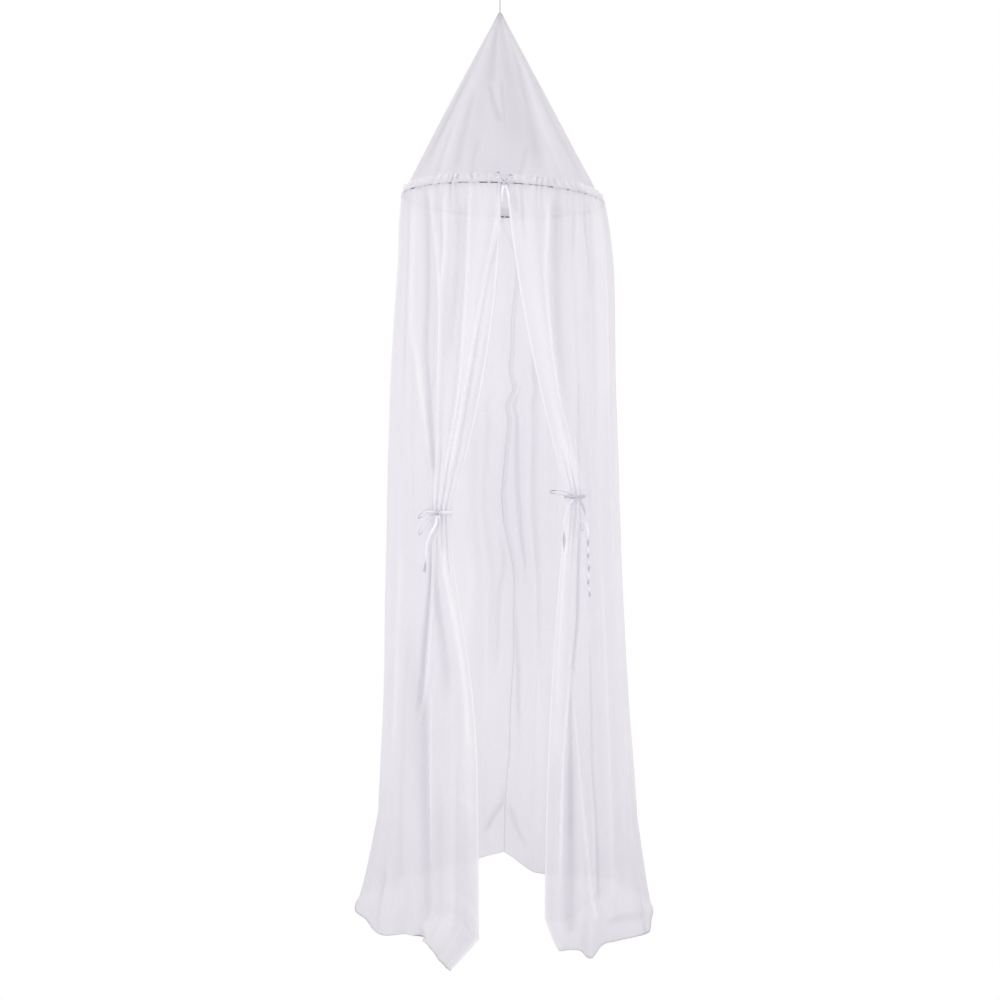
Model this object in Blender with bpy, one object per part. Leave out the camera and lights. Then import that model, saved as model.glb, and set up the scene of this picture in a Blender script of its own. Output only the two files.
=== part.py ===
"""Mosquito net canopy with hoop.

A cone-shaped net roof hangs by a cord and carries a thin wire hoop. Two gathered net panels
hang from the hoop to the floor. They are sewn together at the centre back and open at the
front, where a ribbon closes them at the top and each is tied back with a ribbon bow.

Metres, +Z up, front towards -Y. The origin is the top of the hanging loop. Heights in the
tables are above the floor that the hem reaches, DROP below the origin.
"""

import math
from bisect import bisect_right
from collections import namedtuple

import bpy
from mathutils import Vector

# ---- driving dimensions ----
DROP = 2.500
TIP_H = 2.403
HOOP_H = 1.897
HOOP_RADIUS = 0.268
HOOP_WIRE = 0.0018
HOOP_CENTRE = Vector((0.008, 0.0))
HOOP_TILT = math.radians(2.5)

CLOTH = 0.0012
GAP = 0.0003
SEAM_GAP = 0.0008
HOOP_SEAT = 0.0004
FLOOR_GAP = 0.0010
HEADING = 0.025
HEADING_TAPER = 0.46

RIBBON_WIDTH = 0.008
RIBBON = 0.0010
TAIL_RADIUS = 0.0015
BAND_EASE = 0.0003
BAND_OPENING = math.radians(17.0)
BAND_POINTS = 25
CORD_RADIUS = 0.0015

ROOF_TIP_RADIUS = 0.004
ROOF_SIDES = 48
ROOF_LEVELS = (0.0, 0.22, 0.45, 0.68, 0.86, 1.0)
ROOF_FOLD_DEPTH = 0.004
# A roof wave is one set of soft radial folds: their number, their share and their turn.
RoofWave = namedtuple("RoofWave", "folds share turn")
ROOF_WAVES = (RoofWave(9, 0.6, 0.7), RoofWave(5, 0.4, 2.1))
HOOP_SIDES = 6

# ---- the two curtain panels ----
# A station is a line down the cloth: its share of the panel's width from the back seam, its
# azimuth on the hoop (0 is the front, + is to the right), and where it lies in plan at tie
# height, where it leaves the fall (low) and at the hem.
Station = namedtuple(
    "Station", "u hoop_az tie_x tie_y low_x low_y low_h hem_x hem_y hem_h"
)
# A fold is a ridge down the cloth: its place across the panel and its relative depth.
Fold = namedtuple("Fold", "u depth")
# A level is a section across the cloth: its place down the panel (-1 is the heading's edge,
# 0 the hoop, 1 the tie, 2 the bottom of the fall, 3 the hem) and a depth in metres there. In
# LEVELS it is the depth of the folds. In a panel's swell it is how far its side stands out.
Level = namedtuple("Level", "s depth")
Panel = namedtuple(
    "Panel",
    "name tie side stations folds swell tie_h lean release bundle_from bundle_depth knot_turn",
)

LEFT = Panel(
    name="curtain_left",
    tie="left_tie",
    side=-1,
    stations=(
        Station(0.00, -180.0, 0.008, 0.298, 0.008, 0.318, 0.20, 0.010, 0.330, 0.048),
        Station(0.13, -155.0, -0.118, 0.272, -0.125, 0.292, 0.20, -0.112, 0.322, 0.016),
        Station(0.28, -128.0, -0.232, 0.186, -0.252, 0.200, 0.25, -0.286, 0.222, 0.000),
        Station(0.42, -103.0, -0.289, 0.066, -0.316, 0.070, 0.25, -0.372, 0.088, 0.000),
        Station(0.52, -86.0, -0.291, -0.030, -0.318, -0.035, 0.25, -0.386, -0.030, 0.000),
        Station(0.61, -70.0, -0.263, -0.124, -0.294, -0.130, 0.22, -0.350, -0.120, 0.000),
        Station(0.68, -57.0, -0.220, -0.192, -0.258, -0.200, 0.16, -0.298, -0.238, 0.000),
        Station(0.74, -46.0, -0.179, -0.226, -0.214, -0.236, 0.10, -0.236, -0.232, 0.000),
        Station(0.84, -28.0, -0.157, -0.233, -0.152, -0.272, 0.07, -0.184, -0.300, 0.000),
        Station(0.92, -14.0, -0.139, -0.238, -0.094, -0.292, 0.05, -0.146, -0.415, 0.000),
        Station(1.00, -1.0, -0.1225, -0.242, -0.053, -0.300, 0.03, -0.118, -0.484, 0.000),
    ),
    folds=(
        Fold(0.060, 0.6),
        Fold(0.165, 1.0),
        Fold(0.255, 0.6),
        Fold(0.360, 0.9),
        Fold(0.455, 0.6),
        Fold(0.560, 0.9),
        Fold(0.655, 0.7),
        Fold(0.752, 0.5),
        Fold(0.808, 0.7),
        Fold(0.868, 0.3),
        Fold(0.918, 0.3),
        Fold(0.966, 0.3),
    ),
    swell=(
        Level(0.000, 0.0000),
        Level(0.130, -0.0050),
        Level(0.200, -0.0070),
        Level(0.320, -0.0030),
        Level(0.550, 0.0050),
        Level(0.780, 0.0080),
        Level(1.000, 0.0050),
        Level(1.300, 0.0030),
        Level(1.600, -0.0010),
        Level(2.000, 0.0030),
        Level(3.000, 0.0020),
    ),
    tie_h=1.070,
    lean=2.0,
    release=(2.0, 8.0),
    bundle_from=0.74,
    bundle_depth=0.016,
    knot_turn=0.0,
)

RIGHT = Panel(
    name="curtain_right",
    tie="right_tie",
    side=1,
    stations=(
        Station(0.00, 180.0, 0.008, 0.298, 0.008, 0.318, 0.20, 0.010, 0.330, 0.048),
        Station(0.10, 162.0, 0.100, 0.280, 0.108, 0.294, 0.15, 0.090, 0.286, 0.004),
        Station(0.17, 149.5, 0.158, 0.252, 0.172, 0.262, 0.15, 0.142, 0.264, 0.000),
        Station(0.30, 126.0, 0.250, 0.178, 0.278, 0.188, 0.22, 0.296, 0.232, 0.000),
        Station(0.43, 103.0, 0.298, 0.062, 0.340, 0.066, 0.25, 0.382, 0.090, 0.000),
        Station(0.53, 85.0, 0.302, -0.040, 0.346, -0.035, 0.25, 0.398, -0.020, 0.000),
        Station(0.63, 67.0, 0.280, -0.132, 0.326, -0.130, 0.22, 0.368, -0.160, 0.000),
        Station(0.72, 51.0, 0.236, -0.198, 0.272, -0.208, 0.14, 0.276, -0.254, 0.000),
        Station(0.78, 40.0, 0.212, -0.224, 0.234, -0.240, 0.10, 0.228, -0.330, 0.000),
        Station(0.86, 26.0, 0.194, -0.232, 0.186, -0.266, 0.06, 0.208, -0.370, 0.000),
        Station(0.93, 14.0, 0.180, -0.238, 0.142, -0.280, 0.05, 0.160, -0.318, 0.000),
        Station(1.00, 2.0, 0.167, -0.242, 0.112, -0.286, 0.06, 0.122, -0.296, 0.022),
    ),
    folds=(
        Fold(0.055, 0.7),
        Fold(0.140, 0.9),
        Fold(0.240, 0.7),
        Fold(0.340, 1.0),
        Fold(0.450, 0.6),
        Fold(0.545, 0.9),
        Fold(0.650, 0.6),
        Fold(0.735, 0.6),
        Fold(0.790, 0.4),
        Fold(0.875, 0.4),
        Fold(0.920, 0.2),
        Fold(0.962, 0.2),
    ),
    swell=(
        Level(0.000, 0.0000),
        Level(0.130, 0.0080),
        Level(0.250, 0.0125),
        Level(0.450, 0.0110),
        Level(0.600, 0.0090),
        Level(1.000, 0.0095),
        Level(1.300, 0.0055),
        Level(1.650, 0.0055),
        Level(1.850, 0.0100),
        Level(2.000, 0.0125),
        Level(2.400, 0.0120),
        Level(3.000, 0.0090),
    ),
    tie_h=1.110,
    lean=1.44,
    release=(1.0, 2.0),
    bundle_from=0.78,
    bundle_depth=0.016,
    knot_turn=0.38,
)

LEVELS = (
    Level(-1.000, 0.0040),
    Level(-0.450, 0.0030),
    Level(0.000, 0.0030),
    Level(0.035, 0.0055),
    Level(0.110, 0.0095),
    Level(0.260, 0.0115),
    Level(0.450, 0.0110),
    Level(0.650, 0.0105),
    Level(0.820, 0.0100),
    Level(0.930, 0.0100),
    Level(0.988, 0.0100),
    Level(1.012, 0.0100),
    Level(1.075, 0.0100),
    Level(1.200, 0.0100),
    Level(1.450, 0.0105),
    Level(1.750, 0.0105),
    Level(2.000, 0.0095),
    Level(2.400, 0.0075),
    Level(2.750, 0.0050),
    Level(3.000, 0.0030),
)
TIE_HOLD = 0.012
TIE_REACH = 0.20
BUNDLE_LEAD = 0.14
BUNDLE_EDGE = 0.05
FREE_EDGE = 0.02
HEM_SPREAD = 1.4
SIDE_MIDDLE = 0.50
SIDE_SPREAD = 0.17
COLUMNS_PER_FOLD = 4

# ---- ribbon bows: the routes of the loops and free ends that leave each knot ----
# Offsets are from the knot's centre, in metres: to the right, towards the viewer and up.
# A loop is its middle and its far end, and a tail is a list of the places it passes.
Bow = namedtuple("Bow", "name loops tails")
KNOT_SIZE = Vector((0.013, 0.009, 0.011))
KNOT_SEAT = 0.0005
LOOP_OPENING = 0.006
LOOP_WIDTH = 0.006
LOOP_START = 0.42
LOOP_POINTS = 15

LEFT_BOW = Bow(
    name="left_tie",
    loops=(
        ((-0.026, 0.007, 0.004), (-0.048, 0.010, -0.013)),
        ((-0.026, 0.007, -0.020), (-0.047, 0.009, -0.056)),
    ),
    tails=(
        (
            (-0.0020, 0.0005, -0.0059),
            (-0.0030, 0.0120, -0.0260),
            (-0.0170, 0.0160, -0.0530),
            (-0.0265, 0.0125, -0.0800),
            (-0.0280, 0.0120, -0.1050),
            (-0.0320, 0.0110, -0.1480),
        ),
        (
            (0.0030, 0.0005, -0.0056),
            (0.0050, 0.0080, -0.0220),
            (0.0010, 0.0140, -0.0480),
            (-0.0080, 0.0160, -0.0780),
        ),
    ),
)
RIGHT_BOW = Bow(
    name="right_tie",
    loops=(
        ((-0.024, 0.004, 0.009), (-0.062, 0.005, 0.013)),
        ((0.012, 0.006, -0.033), (0.021, 0.008, -0.085)),
    ),
    tails=(
        (
            (0.0070, 0.0010, -0.0020),
            (0.0170, 0.0100, -0.0160),
            (0.0260, 0.0160, -0.0440),
            (0.0325, 0.0130, -0.0830),
            (0.0337, 0.0110, -0.1157),
            (0.0340, 0.0100, -0.1480),
            (0.0358, 0.0095, -0.1790),
            (0.0342, 0.0095, -0.2140),
            (0.0377, 0.0100, -0.2440),
            (0.0390, 0.0105, -0.2565),
        ),
        (
            (-0.0028, 0.0005, -0.0059),
            (-0.0130, 0.0090, -0.0180),
            (-0.0226, 0.0110, -0.0400),
            (-0.0272, 0.0120, -0.0700),
            (-0.0264, 0.0125, -0.1080),
            (-0.0264, 0.0125, -0.1380),
        ),
    ),
)
TOP_BOW = Bow(
    name="top_tie",
    loops=(
        ((-0.011, 0.0075, 0.012), (-0.017, 0.0075, 0.024)),
        ((0.011, 0.0075, 0.010), (0.020, 0.0075, 0.016)),
    ),
    tails=(
        (
            (-0.0020, 0.0005, -0.0059),
            (-0.0045, 0.0055, -0.0200),
            (-0.0055, 0.0085, -0.0360),
            (-0.0040, 0.0090, -0.0520),
        ),
        (
            (0.0030, 0.0005, -0.0056),
            (0.0080, 0.0055, -0.0200),
            (0.0115, 0.0090, -0.0420),
            (0.0125, 0.0100, -0.0660),
        ),
    ),
)
TOP_KNOT_X = 0.0105

# ---- hanging cord and its loop ----
LOOP_HALF_WIDTH = 0.007
LOOP_HEIGHT = 0.034
LOOP_ARC_POINTS = 9
LOOP_FOOT_X = 0.0022
LOOP_FOOT_GAP = 0.0001
LOOP_SIDE_X = 0.0050
LOOP_SIDE_RISE = 0.011
LOOP_KNOT_SHAPE = Vector((2.4, 2.0, 2.0))
LOOP_KNOT_RADIUS = 0.0042
CORD_POINTS = 16


def lerp(a, b, t):
    return a + (b - a) * t


def smooth(t):
    """Goes from 0 to 1 with flat ends."""
    t = min(1.0, max(0.0, t))
    return t * t * (3.0 - 2.0 * t)


def through(xs, ys, x):
    """The value at x of a smooth curve through the points (xs, ys)."""
    i = min(max(bisect_right(xs, x) - 1, 0), len(xs) - 2)

    def slope(k):
        low = max(k - 1, 0)
        high = min(k + 1, len(xs) - 1)
        return (ys[high] - ys[low]) / (xs[high] - xs[low])

    span = xs[i + 1] - xs[i]
    t = (x - xs[i]) / span
    start = (1.0 + 2.0 * t) * (1.0 - t) ** 2 * ys[i] + t * (1.0 - t) ** 2 * span * slope(i)
    end = t * t * (3.0 - 2.0 * t) * ys[i + 1] - t * t * (1.0 - t) * span * slope(i + 1)
    return start + end


def column(rows, field, x, key="u"):
    """The value of one named column of a table at x, on a smooth curve through its rows."""
    return through([getattr(r, key) for r in rows], [getattr(r, field) for r in rows], x)


def material(name, colour, roughness, metallic=0.0):
    made = bpy.data.materials.new(name)
    made.use_nodes = True
    shader = made.node_tree.nodes["Principled BSDF"]
    shader.inputs["Base Color"].default_value = (*colour, 1.0)
    shader.inputs["Roughness"].default_value = roughness
    shader.inputs["Metallic"].default_value = metallic
    return made


def mesh_object(name, vertices, faces, look):
    mesh = bpy.data.meshes.new(name)
    mesh.from_pydata([tuple(v) for v in vertices], [], faces)
    mesh.shade_smooth()
    made = bpy.data.objects.new(name, mesh)
    bpy.context.collection.objects.link(made)
    made.data.materials.append(look)
    return made


def sheet(name, sections, look, closed=False, lid=False):
    """A sheet of cloth through a list of sections, each a list of points, outer face out.

    closed joins each section's end to its start, and lid closes the first section.
    """
    count = len(sections[0])
    vertices = [point for section in sections for point in section]
    faces = []
    for r in range(len(sections) - 1):
        for c in range(count if closed else count - 1):
            d = (c + 1) % count
            faces.append((r * count + c, (r + 1) * count + c, (r + 1) * count + d, r * count + d))
    if lid:
        faces.append(tuple(range(count)))
    made = mesh_object(name, vertices, faces, look)
    thick = made.modifiers.new("Thickness", "SOLIDIFY")
    thick.thickness = CLOTH
    thick.offset = 0.0
    return made


def strip(name, path, across, look, width=RIBBON_WIDTH, thickness=RIBBON):
    """A ribbon along a path, width wide in the direction across, closed at both ends."""
    vertices = []
    for i, point in enumerate(path):
        along = (path[min(i + 1, len(path) - 1)] - path[max(i - 1, 0)]).normalized()
        wide = (across - along * across.dot(along)).normalized() * width / 2
        thick = along.cross(wide).normalized() * thickness / 2
        vertices += [
            point - wide - thick,
            point + wide - thick,
            point + wide + thick,
            point - wide + thick,
        ]
    faces = [(3, 2, 1, 0)]
    for i in range(len(path) - 1):
        for k in range(4):
            n = (k + 1) % 4
            faces.append((4 * i + n, 4 * i + 4 + n, 4 * i + 4 + k, 4 * i + k))
    last = 4 * (len(path) - 1)
    faces.append((last, last + 1, last + 2, last + 3))
    return mesh_object(name, vertices, faces, look)


def tube(name, path, radius, look):
    """A round cord along a path, with filled ends."""
    curve = bpy.data.curves.new(name, "CURVE")
    curve.dimensions = "3D"
    spline = curve.splines.new("POLY")
    spline.points.add(len(path) - 1)
    for p, point in zip(spline.points, path):
        p.co = (*point, 1.0)
    curve.bevel_depth = radius
    curve.bevel_resolution = 2
    curve.use_fill_caps = True
    made = bpy.data.objects.new(name, curve)
    bpy.context.collection.objects.link(made)
    curve.materials.append(look)
    return made


def route(points, count):
    """count points along the smooth curve through a few points."""
    knots = list(range(len(points)))
    made = []
    for i in range(count):
        t = i * (len(points) - 1) / (count - 1)
        made.append(Vector([through(knots, [p[k] for p in points], t) for k in range(3)]))
    return made


def ball(name, centre, size, look, sides=12, rings=6):
    """An ellipsoid of the given full sizes."""
    vertices = [centre + Vector((0, 0, size.z / 2))]
    for r in range(1, rings):
        a = math.pi * r / rings
        for s in range(sides):
            b = math.tau * s / sides
            out = Vector((math.sin(a) * math.cos(b), math.sin(a) * math.sin(b), math.cos(a)))
            vertices.append(centre + Vector([out[k] * size[k] / 2 for k in range(3)]))
    vertices.append(centre - Vector((0, 0, size.z / 2)))
    faces = []
    for s in range(sides):
        n = (s + 1) % sides
        faces.append((0, 1 + s, 1 + n))
        for r in range(rings - 2):
            a = 1 + r * sides
            faces.append((a + s, a + sides + s, a + sides + n, a + n))
        a = 1 + (rings - 2) * sides
        faces.append((a + s, len(vertices) - 1, a + n))
    return mesh_object(name, vertices, faces, look)


# ---- hoop and roof ----
def hoop_height(x):
    """The tilted hoop's height above the floor at x."""
    return HOOP_H - (x - HOOP_CENTRE.x) * math.tan(HOOP_TILT)


def hoop_place(azimuth, radius):
    """The plan point at an azimuth in degrees from the front, + to the right."""
    a = math.radians(azimuth)
    return HOOP_CENTRE + Vector((math.sin(a), -math.cos(a))) * radius


def build_hoop(look):
    vertices = []
    faces = []
    for i in range(ROOF_SIDES):
        azimuth = 360.0 * i / ROOF_SIDES
        for k in range(HOOP_SIDES):
            a = math.tau * (k + 0.5) / HOOP_SIDES
            plan = hoop_place(azimuth, HOOP_RADIUS + HOOP_WIRE * math.cos(a))
            rise = HOOP_WIRE * math.sin(a)
            vertices.append(Vector((plan.x, plan.y, hoop_height(plan.x) + rise - DROP)))
    for i in range(ROOF_SIDES):
        j = (i + 1) % ROOF_SIDES
        for k in range(HOOP_SIDES):
            n = (k + 1) % HOOP_SIDES
            a = i * HOOP_SIDES
            b = j * HOOP_SIDES
            faces.append((a + k, b + k, b + n, a + n))
    return mesh_object("hoop", vertices, faces, look)


def roof_fold(azimuth, t):
    """How far a soft radial fold stands out of the cone, at t from the tip to the hem."""
    a = math.radians(azimuth)
    swell = math.sin(math.pi * t) if 0.0 < t < 1.0 else 0.0
    wave = sum(w.share * math.cos(w.folds * a + w.turn) for w in ROOF_WAVES)
    return ROOF_FOLD_DEPTH * swell * wave


def build_roof(look):
    """The cone, down to just above the hoop that its hem sits on."""
    hem_rise = HOOP_WIRE + GAP + CLOTH / 2
    sections = []
    for t in ROOF_LEVELS:
        section = []
        for i in range(ROOF_SIDES):
            azimuth = 360.0 * i / ROOF_SIDES
            rim = hoop_place(azimuth, HOOP_RADIUS)
            radius = lerp(ROOF_TIP_RADIUS, HOOP_RADIUS, t) + roof_fold(azimuth, t)
            plan = hoop_place(azimuth, radius) - HOOP_CENTRE * (1.0 - t)
            height = lerp(TIP_H, hoop_height(rim.x) + hem_rise, t)
            section.append(Vector((plan.x, plan.y, height - DROP)))
        sections.append(section)
    return sheet("roof", sections, look, closed=True, lid=True)


# ---- curtain panels ----
def plan_and_height(panel, u, s):
    """Where the cloth's base surface lies at u across and s down the panel."""
    value = {f: column(panel.stations, f, u) for f in Station._fields[1:]}
    in_bundle = smooth((u - panel.bundle_from) / BUNDLE_LEAD + 1.0)
    radius = HOOP_RADIUS + HOOP_WIRE + GAP + CLOTH / 2
    if s <= 0.0:
        rise = -s * HEADING
        plan = hoop_place(value["hoop_az"], radius + HOOP_SEAT - HEADING_TAPER * rise)
        return plan, hoop_height(plan.x) + rise
    top = hoop_place(value["hoop_az"], radius + HOOP_SEAT)
    tie = Vector((value["tie_x"], value["tie_y"]))
    low = Vector((value["low_x"], value["low_y"]))
    hem = Vector((value["hem_x"], value["hem_y"]))
    if s <= 1.0:
        t = min(1.0, s / (1.0 - TIE_HOLD))
        lean = lerp(1.0, panel.lean, in_bundle)
        return top.lerp(tie, t**lean), lerp(hoop_height(top.x), panel.tie_h, s)
    if s <= 2.0:
        t = max(0.0, (s - 1.0 - TIE_HOLD) / (1.0 - TIE_HOLD))
        early = lerp(1.0, panel.release[0], in_bundle)
        late = lerp(1.0, panel.release[1], in_bundle)
        moved = 1.0 - (1.0 - t**early) ** late
        return tie.lerp(low, moved), lerp(panel.tie_h, value["low_h"], s - 1.0)
    w = s - 2.0
    rest = CLOTH / 2 + FLOOR_GAP + value["hem_h"]
    return low.lerp(hem, w), rest + (value["low_h"] - rest) * (1.0 - w) ** HEM_SPREAD


def fold_phase(panel, u):
    """The fold wave's phase: whole turns at the ridges, half turns at the panel's edges."""
    knots = [0.0] + [f.u for f in panel.folds] + [1.0]
    phases = [-0.5] + list(range(len(panel.folds))) + [len(panel.folds) - 0.5]
    i = min(max(bisect_right(knots, u) - 1, 0), len(knots) - 2)
    return math.tau * lerp(phases[i], phases[i + 1], (u - knots[i]) / (knots[i + 1] - knots[i]))


def fold_offset(panel, u, s, depth):
    """How far the folds carry the cloth outwards from the base surface."""
    wave = math.cos(fold_phase(panel, u))
    place = (u - panel.bundle_from) / (1.0 - panel.bundle_from) * 2.0 - 1.0
    held = math.exp(-(((s - 1.0) / TIE_REACH) ** 2))
    near = smooth((u - panel.bundle_from) / BUNDLE_EDGE + 1.0)
    strength = column(panel.folds, "depth", min(max(u, panel.folds[0].u), panel.folds[-1].u))
    edge = smooth(min(u, 1.0 - u) / FREE_EDGE)
    loose = depth * strength * (1.0 + wave) / 2.0 * (1.0 - held * near) * edge
    swing = math.sqrt(max(0.0, 1.0 - place * place)) if place > -1.0 else 0.0
    side = math.exp(-(((u - SIDE_MIDDLE) / SIDE_SPREAD) ** 2)) if s > 0.0 else 0.0
    swell = column(panel.swell, "depth", max(s, 0.0), "s") * side
    return loose + panel.bundle_depth * swing * held * wave + swell


def panel_columns(panel):
    """The shares of the width at which the folds turn: four to each fold."""
    knots = [0.0] + [f.u for f in panel.folds] + [1.0]
    columns = []
    for i in range(len(knots) - 1):
        parts = COLUMNS_PER_FOLD // 2 if i in (0, len(knots) - 2) else COLUMNS_PER_FOLD
        columns += [lerp(knots[i], knots[i + 1], k / parts) for k in range(parts)]
    return columns + [1.0]


def build_panel(panel, look):
    step = 0.004
    sections = []
    for level in LEVELS:
        section = []
        for u in panel_columns(panel):
            plan, height = plan_and_height(panel, u, level.s)
            before, _ = plan_and_height(panel, max(0.0, u - step), level.s)
            after, _ = plan_and_height(panel, min(1.0, u + step), level.s)
            along = (after - before).normalized()
            outward = Vector((-along.y, along.x)) * panel.side
            place = plan + outward * fold_offset(panel, u, level.s, level.depth)
            place.x += panel.side * SEAM_GAP / 2 * (1.0 - smooth(u / FREE_EDGE))
            section.append(Vector((place.x, place.y, height - DROP)))
        if panel.side < 0:
            section.reverse()
        sections.append(section)
    return sheet(panel.name, sections, look)


# ---- ribbon ties ----
def bundle_frame(panel):
    """The tied bundle in plan: its centre, its long and short half axes, and their directions."""
    start, _ = plan_and_height(panel, panel.bundle_from, 1.0)
    end, _ = plan_and_height(panel, 1.0, 1.0)
    centre = (start + end) / 2
    along = (end - start).normalized()
    out = Vector((-along.y, along.x)) * panel.side
    long_half = (end - start).length / 2
    fill = 1.0
    for u in panel_columns(panel):
        if u > panel.bundle_from:
            plan, _ = plan_and_height(panel, u, 1.0)
            offset = plan - centre + out * fold_offset(panel, u, 1.0, 0.0)
            reach = Vector((offset.dot(along) / long_half, offset.dot(out) / panel.bundle_depth))
            fill = max(fill, reach.length)
    clear = CLOTH / 2 + GAP + RIBBON / 2 + BAND_EASE
    return centre, long_half * fill + clear, panel.bundle_depth * fill + clear, along, out


def build_band(panel, look):
    """The ribbon round the tied bundle, open where the cloth runs on to the side."""
    centre, long_half, short_half, along, out = bundle_frame(panel)
    path = []
    for i in range(BAND_POINTS):
        a = lerp(BAND_OPENING, math.tau - BAND_OPENING, i / (BAND_POINTS - 1))
        plan = centre - along * math.cos(a) * long_half + out * math.sin(a) * short_half
        path.append(Vector((plan.x, plan.y, panel.tie_h - DROP)))
    return strip(panel.tie + "_band", path, Vector((0, 0, 1)), look)


def loop_path(middle, end):
    """A teardrop out of the knot's centre, over its far end and back."""
    line = [Vector((0, 0, 0)), middle, end]
    across = Vector((0, -1, 0)).cross(end).normalized()
    path = []
    for i in range(LOOP_POINTS):
        a = lerp(LOOP_START, math.tau - LOOP_START, i / (LOOP_POINTS - 1))
        reach = (1.0 - math.cos(a)) / 2.0
        centre = Vector([through((0, 1, 2), [p[k] for p in line], 2.0 * reach) for k in range(3)])
        path.append(centre + across * math.sin(a) * LOOP_OPENING * lerp(0.5, 1.0, reach))
    return path


def build_bow(bow, knot, look):
    """A bow: the knot and its loops in one piece, and the two free ends."""
    towards_viewer = Vector((1, -1, 1))
    body = ball(bow.name + "_bow", knot, KNOT_SIZE, look)
    for i, (middle, end) in enumerate(bow.loops, start=1):
        path = loop_path(Vector(middle) * towards_viewer, Vector(end) * towards_viewer)
        path = [knot + p for p in path]
        loop = strip(f"{bow.name}_loop_{i}", path, Vector((0, -1, 0)), look, width=LOOP_WIDTH)
        loop.hide_render = True
        loop.display_type = "WIRE"
        joined = body.modifiers.new(f"Loop {i}", "BOOLEAN")
        joined.operation = "UNION"
        joined.object = loop
    for i, points in enumerate(bow.tails, start=1):
        out = [knot + Vector(p) * towards_viewer for p in points]
        length = sum((b - a).length for a, b in zip(out, out[1:]))
        path = route(out, max(8, round(length / (5.0 * TAIL_RADIUS))))
        tube(f"{bow.name}_tail_{i}", path, TAIL_RADIUS, look)


def side_knot(panel):
    """The centre of the knot that sits on the outer side of a panel's band."""
    centre, long_half, short_half, along, out = bundle_frame(panel)
    across, forward = math.sin(panel.knot_turn), math.cos(panel.knot_turn)
    on_band = centre + along * across * long_half + out * forward * short_half
    away = (along * across / long_half + out * forward / short_half).normalized()
    plan = on_band + away * (RIBBON / 2 + KNOT_SIZE.y / 2 + KNOT_SEAT)
    return Vector((plan.x, plan.y, panel.tie_h - DROP))


def top_knot():
    """The centre of the knot on the front of the hoop, between the two panels' edges."""
    x = TOP_KNOT_X
    reach = HOOP_RADIUS + HOOP_WIRE + GAP + KNOT_SIZE.y / 2
    return Vector((x, -reach, hoop_height(x) - DROP))


# ---- hanging cord ----
def build_hanging(look):
    knot_top = -LOOP_HEIGHT
    knot = Vector((0, 0, knot_top - LOOP_KNOT_RADIUS))
    arc_z = -CORD_RADIUS - LOOP_HALF_WIDTH
    foot_z = knot_top + LOOP_FOOT_GAP
    side_z = knot_top + LOOP_SIDE_RISE
    path = [Vector((-LOOP_FOOT_X, 0, foot_z)), Vector((-LOOP_SIDE_X, 0, side_z))]
    for i in range(LOOP_ARC_POINTS):
        a = math.pi * (1.0 - i / (LOOP_ARC_POINTS - 1))
        path.append(Vector((math.cos(a), 0, math.sin(a))) * LOOP_HALF_WIDTH + Vector((0, 0, arc_z)))
    path += [Vector((LOOP_SIDE_X, 0, side_z)), Vector((LOOP_FOOT_X, 0, foot_z))]
    tube("hanging_loop", path, CORD_RADIUS, look)
    size = LOOP_KNOT_SHAPE * LOOP_KNOT_RADIUS
    ball("hanging_knot", knot, size, look)
    top = knot.z - size.z / 2 - GAP
    bottom = TIP_H - DROP + CLOTH / 2 + GAP
    path = [Vector((0, 0, lerp(top, bottom, i / (CORD_POINTS - 1)))) for i in range(CORD_POINTS)]
    tube("hanging_cord", path, CORD_RADIUS, look)


def build():
    for old in list(bpy.data.objects):
        bpy.data.objects.remove(old, do_unlink=True)
    net = material("net_curtain", (0.86, 0.85, 0.89), 0.85)
    roof_net = material("net_roof", (0.82, 0.81, 0.84), 0.85)
    ribbon = material("ribbon", (0.84, 0.83, 0.88), 0.7)
    wire = material("hoop_wire", (0.09, 0.09, 0.10), 0.45)
    cord = material("hanging_cord", (0.62, 0.62, 0.64), 0.8)

    build_hanging(cord)
    build_roof(roof_net)
    build_hoop(wire)
    for panel in (LEFT, RIGHT):
        build_panel(panel, net)
        build_band(panel, ribbon)
    build_bow(LEFT_BOW, side_knot(LEFT), ribbon)
    build_bow(RIGHT_BOW, side_knot(RIGHT), ribbon)
    build_bow(TOP_BOW, top_knot(), ribbon)


build()
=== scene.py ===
"""Mosquito net canopy with a wire hoop, hung from a cord and tied back with ribbons.

The sections follow the object from its hanging cord down. Metres, +Z up, front towards -Y,
with the origin at the top of the hanging loop and the floor DROP below it.
"""

import math
from collections import namedtuple

import bmesh
import bpy
import numpy as np
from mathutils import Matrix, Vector


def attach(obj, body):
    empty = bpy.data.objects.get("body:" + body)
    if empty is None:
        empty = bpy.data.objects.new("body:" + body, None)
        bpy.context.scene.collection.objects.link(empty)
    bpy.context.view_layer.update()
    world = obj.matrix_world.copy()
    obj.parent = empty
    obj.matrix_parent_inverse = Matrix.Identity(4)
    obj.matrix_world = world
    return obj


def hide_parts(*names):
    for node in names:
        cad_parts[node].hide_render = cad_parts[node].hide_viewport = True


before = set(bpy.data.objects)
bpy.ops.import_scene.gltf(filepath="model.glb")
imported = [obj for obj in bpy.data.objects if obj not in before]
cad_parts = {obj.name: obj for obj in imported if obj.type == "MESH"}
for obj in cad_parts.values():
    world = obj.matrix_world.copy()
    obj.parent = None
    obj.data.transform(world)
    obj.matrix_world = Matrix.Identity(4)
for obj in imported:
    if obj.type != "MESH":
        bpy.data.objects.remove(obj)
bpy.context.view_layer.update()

# ---- camera and drop ----
# The canopy hangs with its loop at the origin and its hem on the floor. The eye is level with
# the middle of the curtains and stands well back.
DROP = 2.500
EYE_HEIGHT = 1.245
EYE_DISTANCE = 3.83
LENS = 51.16
LENS_SHIFT = -0.057

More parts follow.
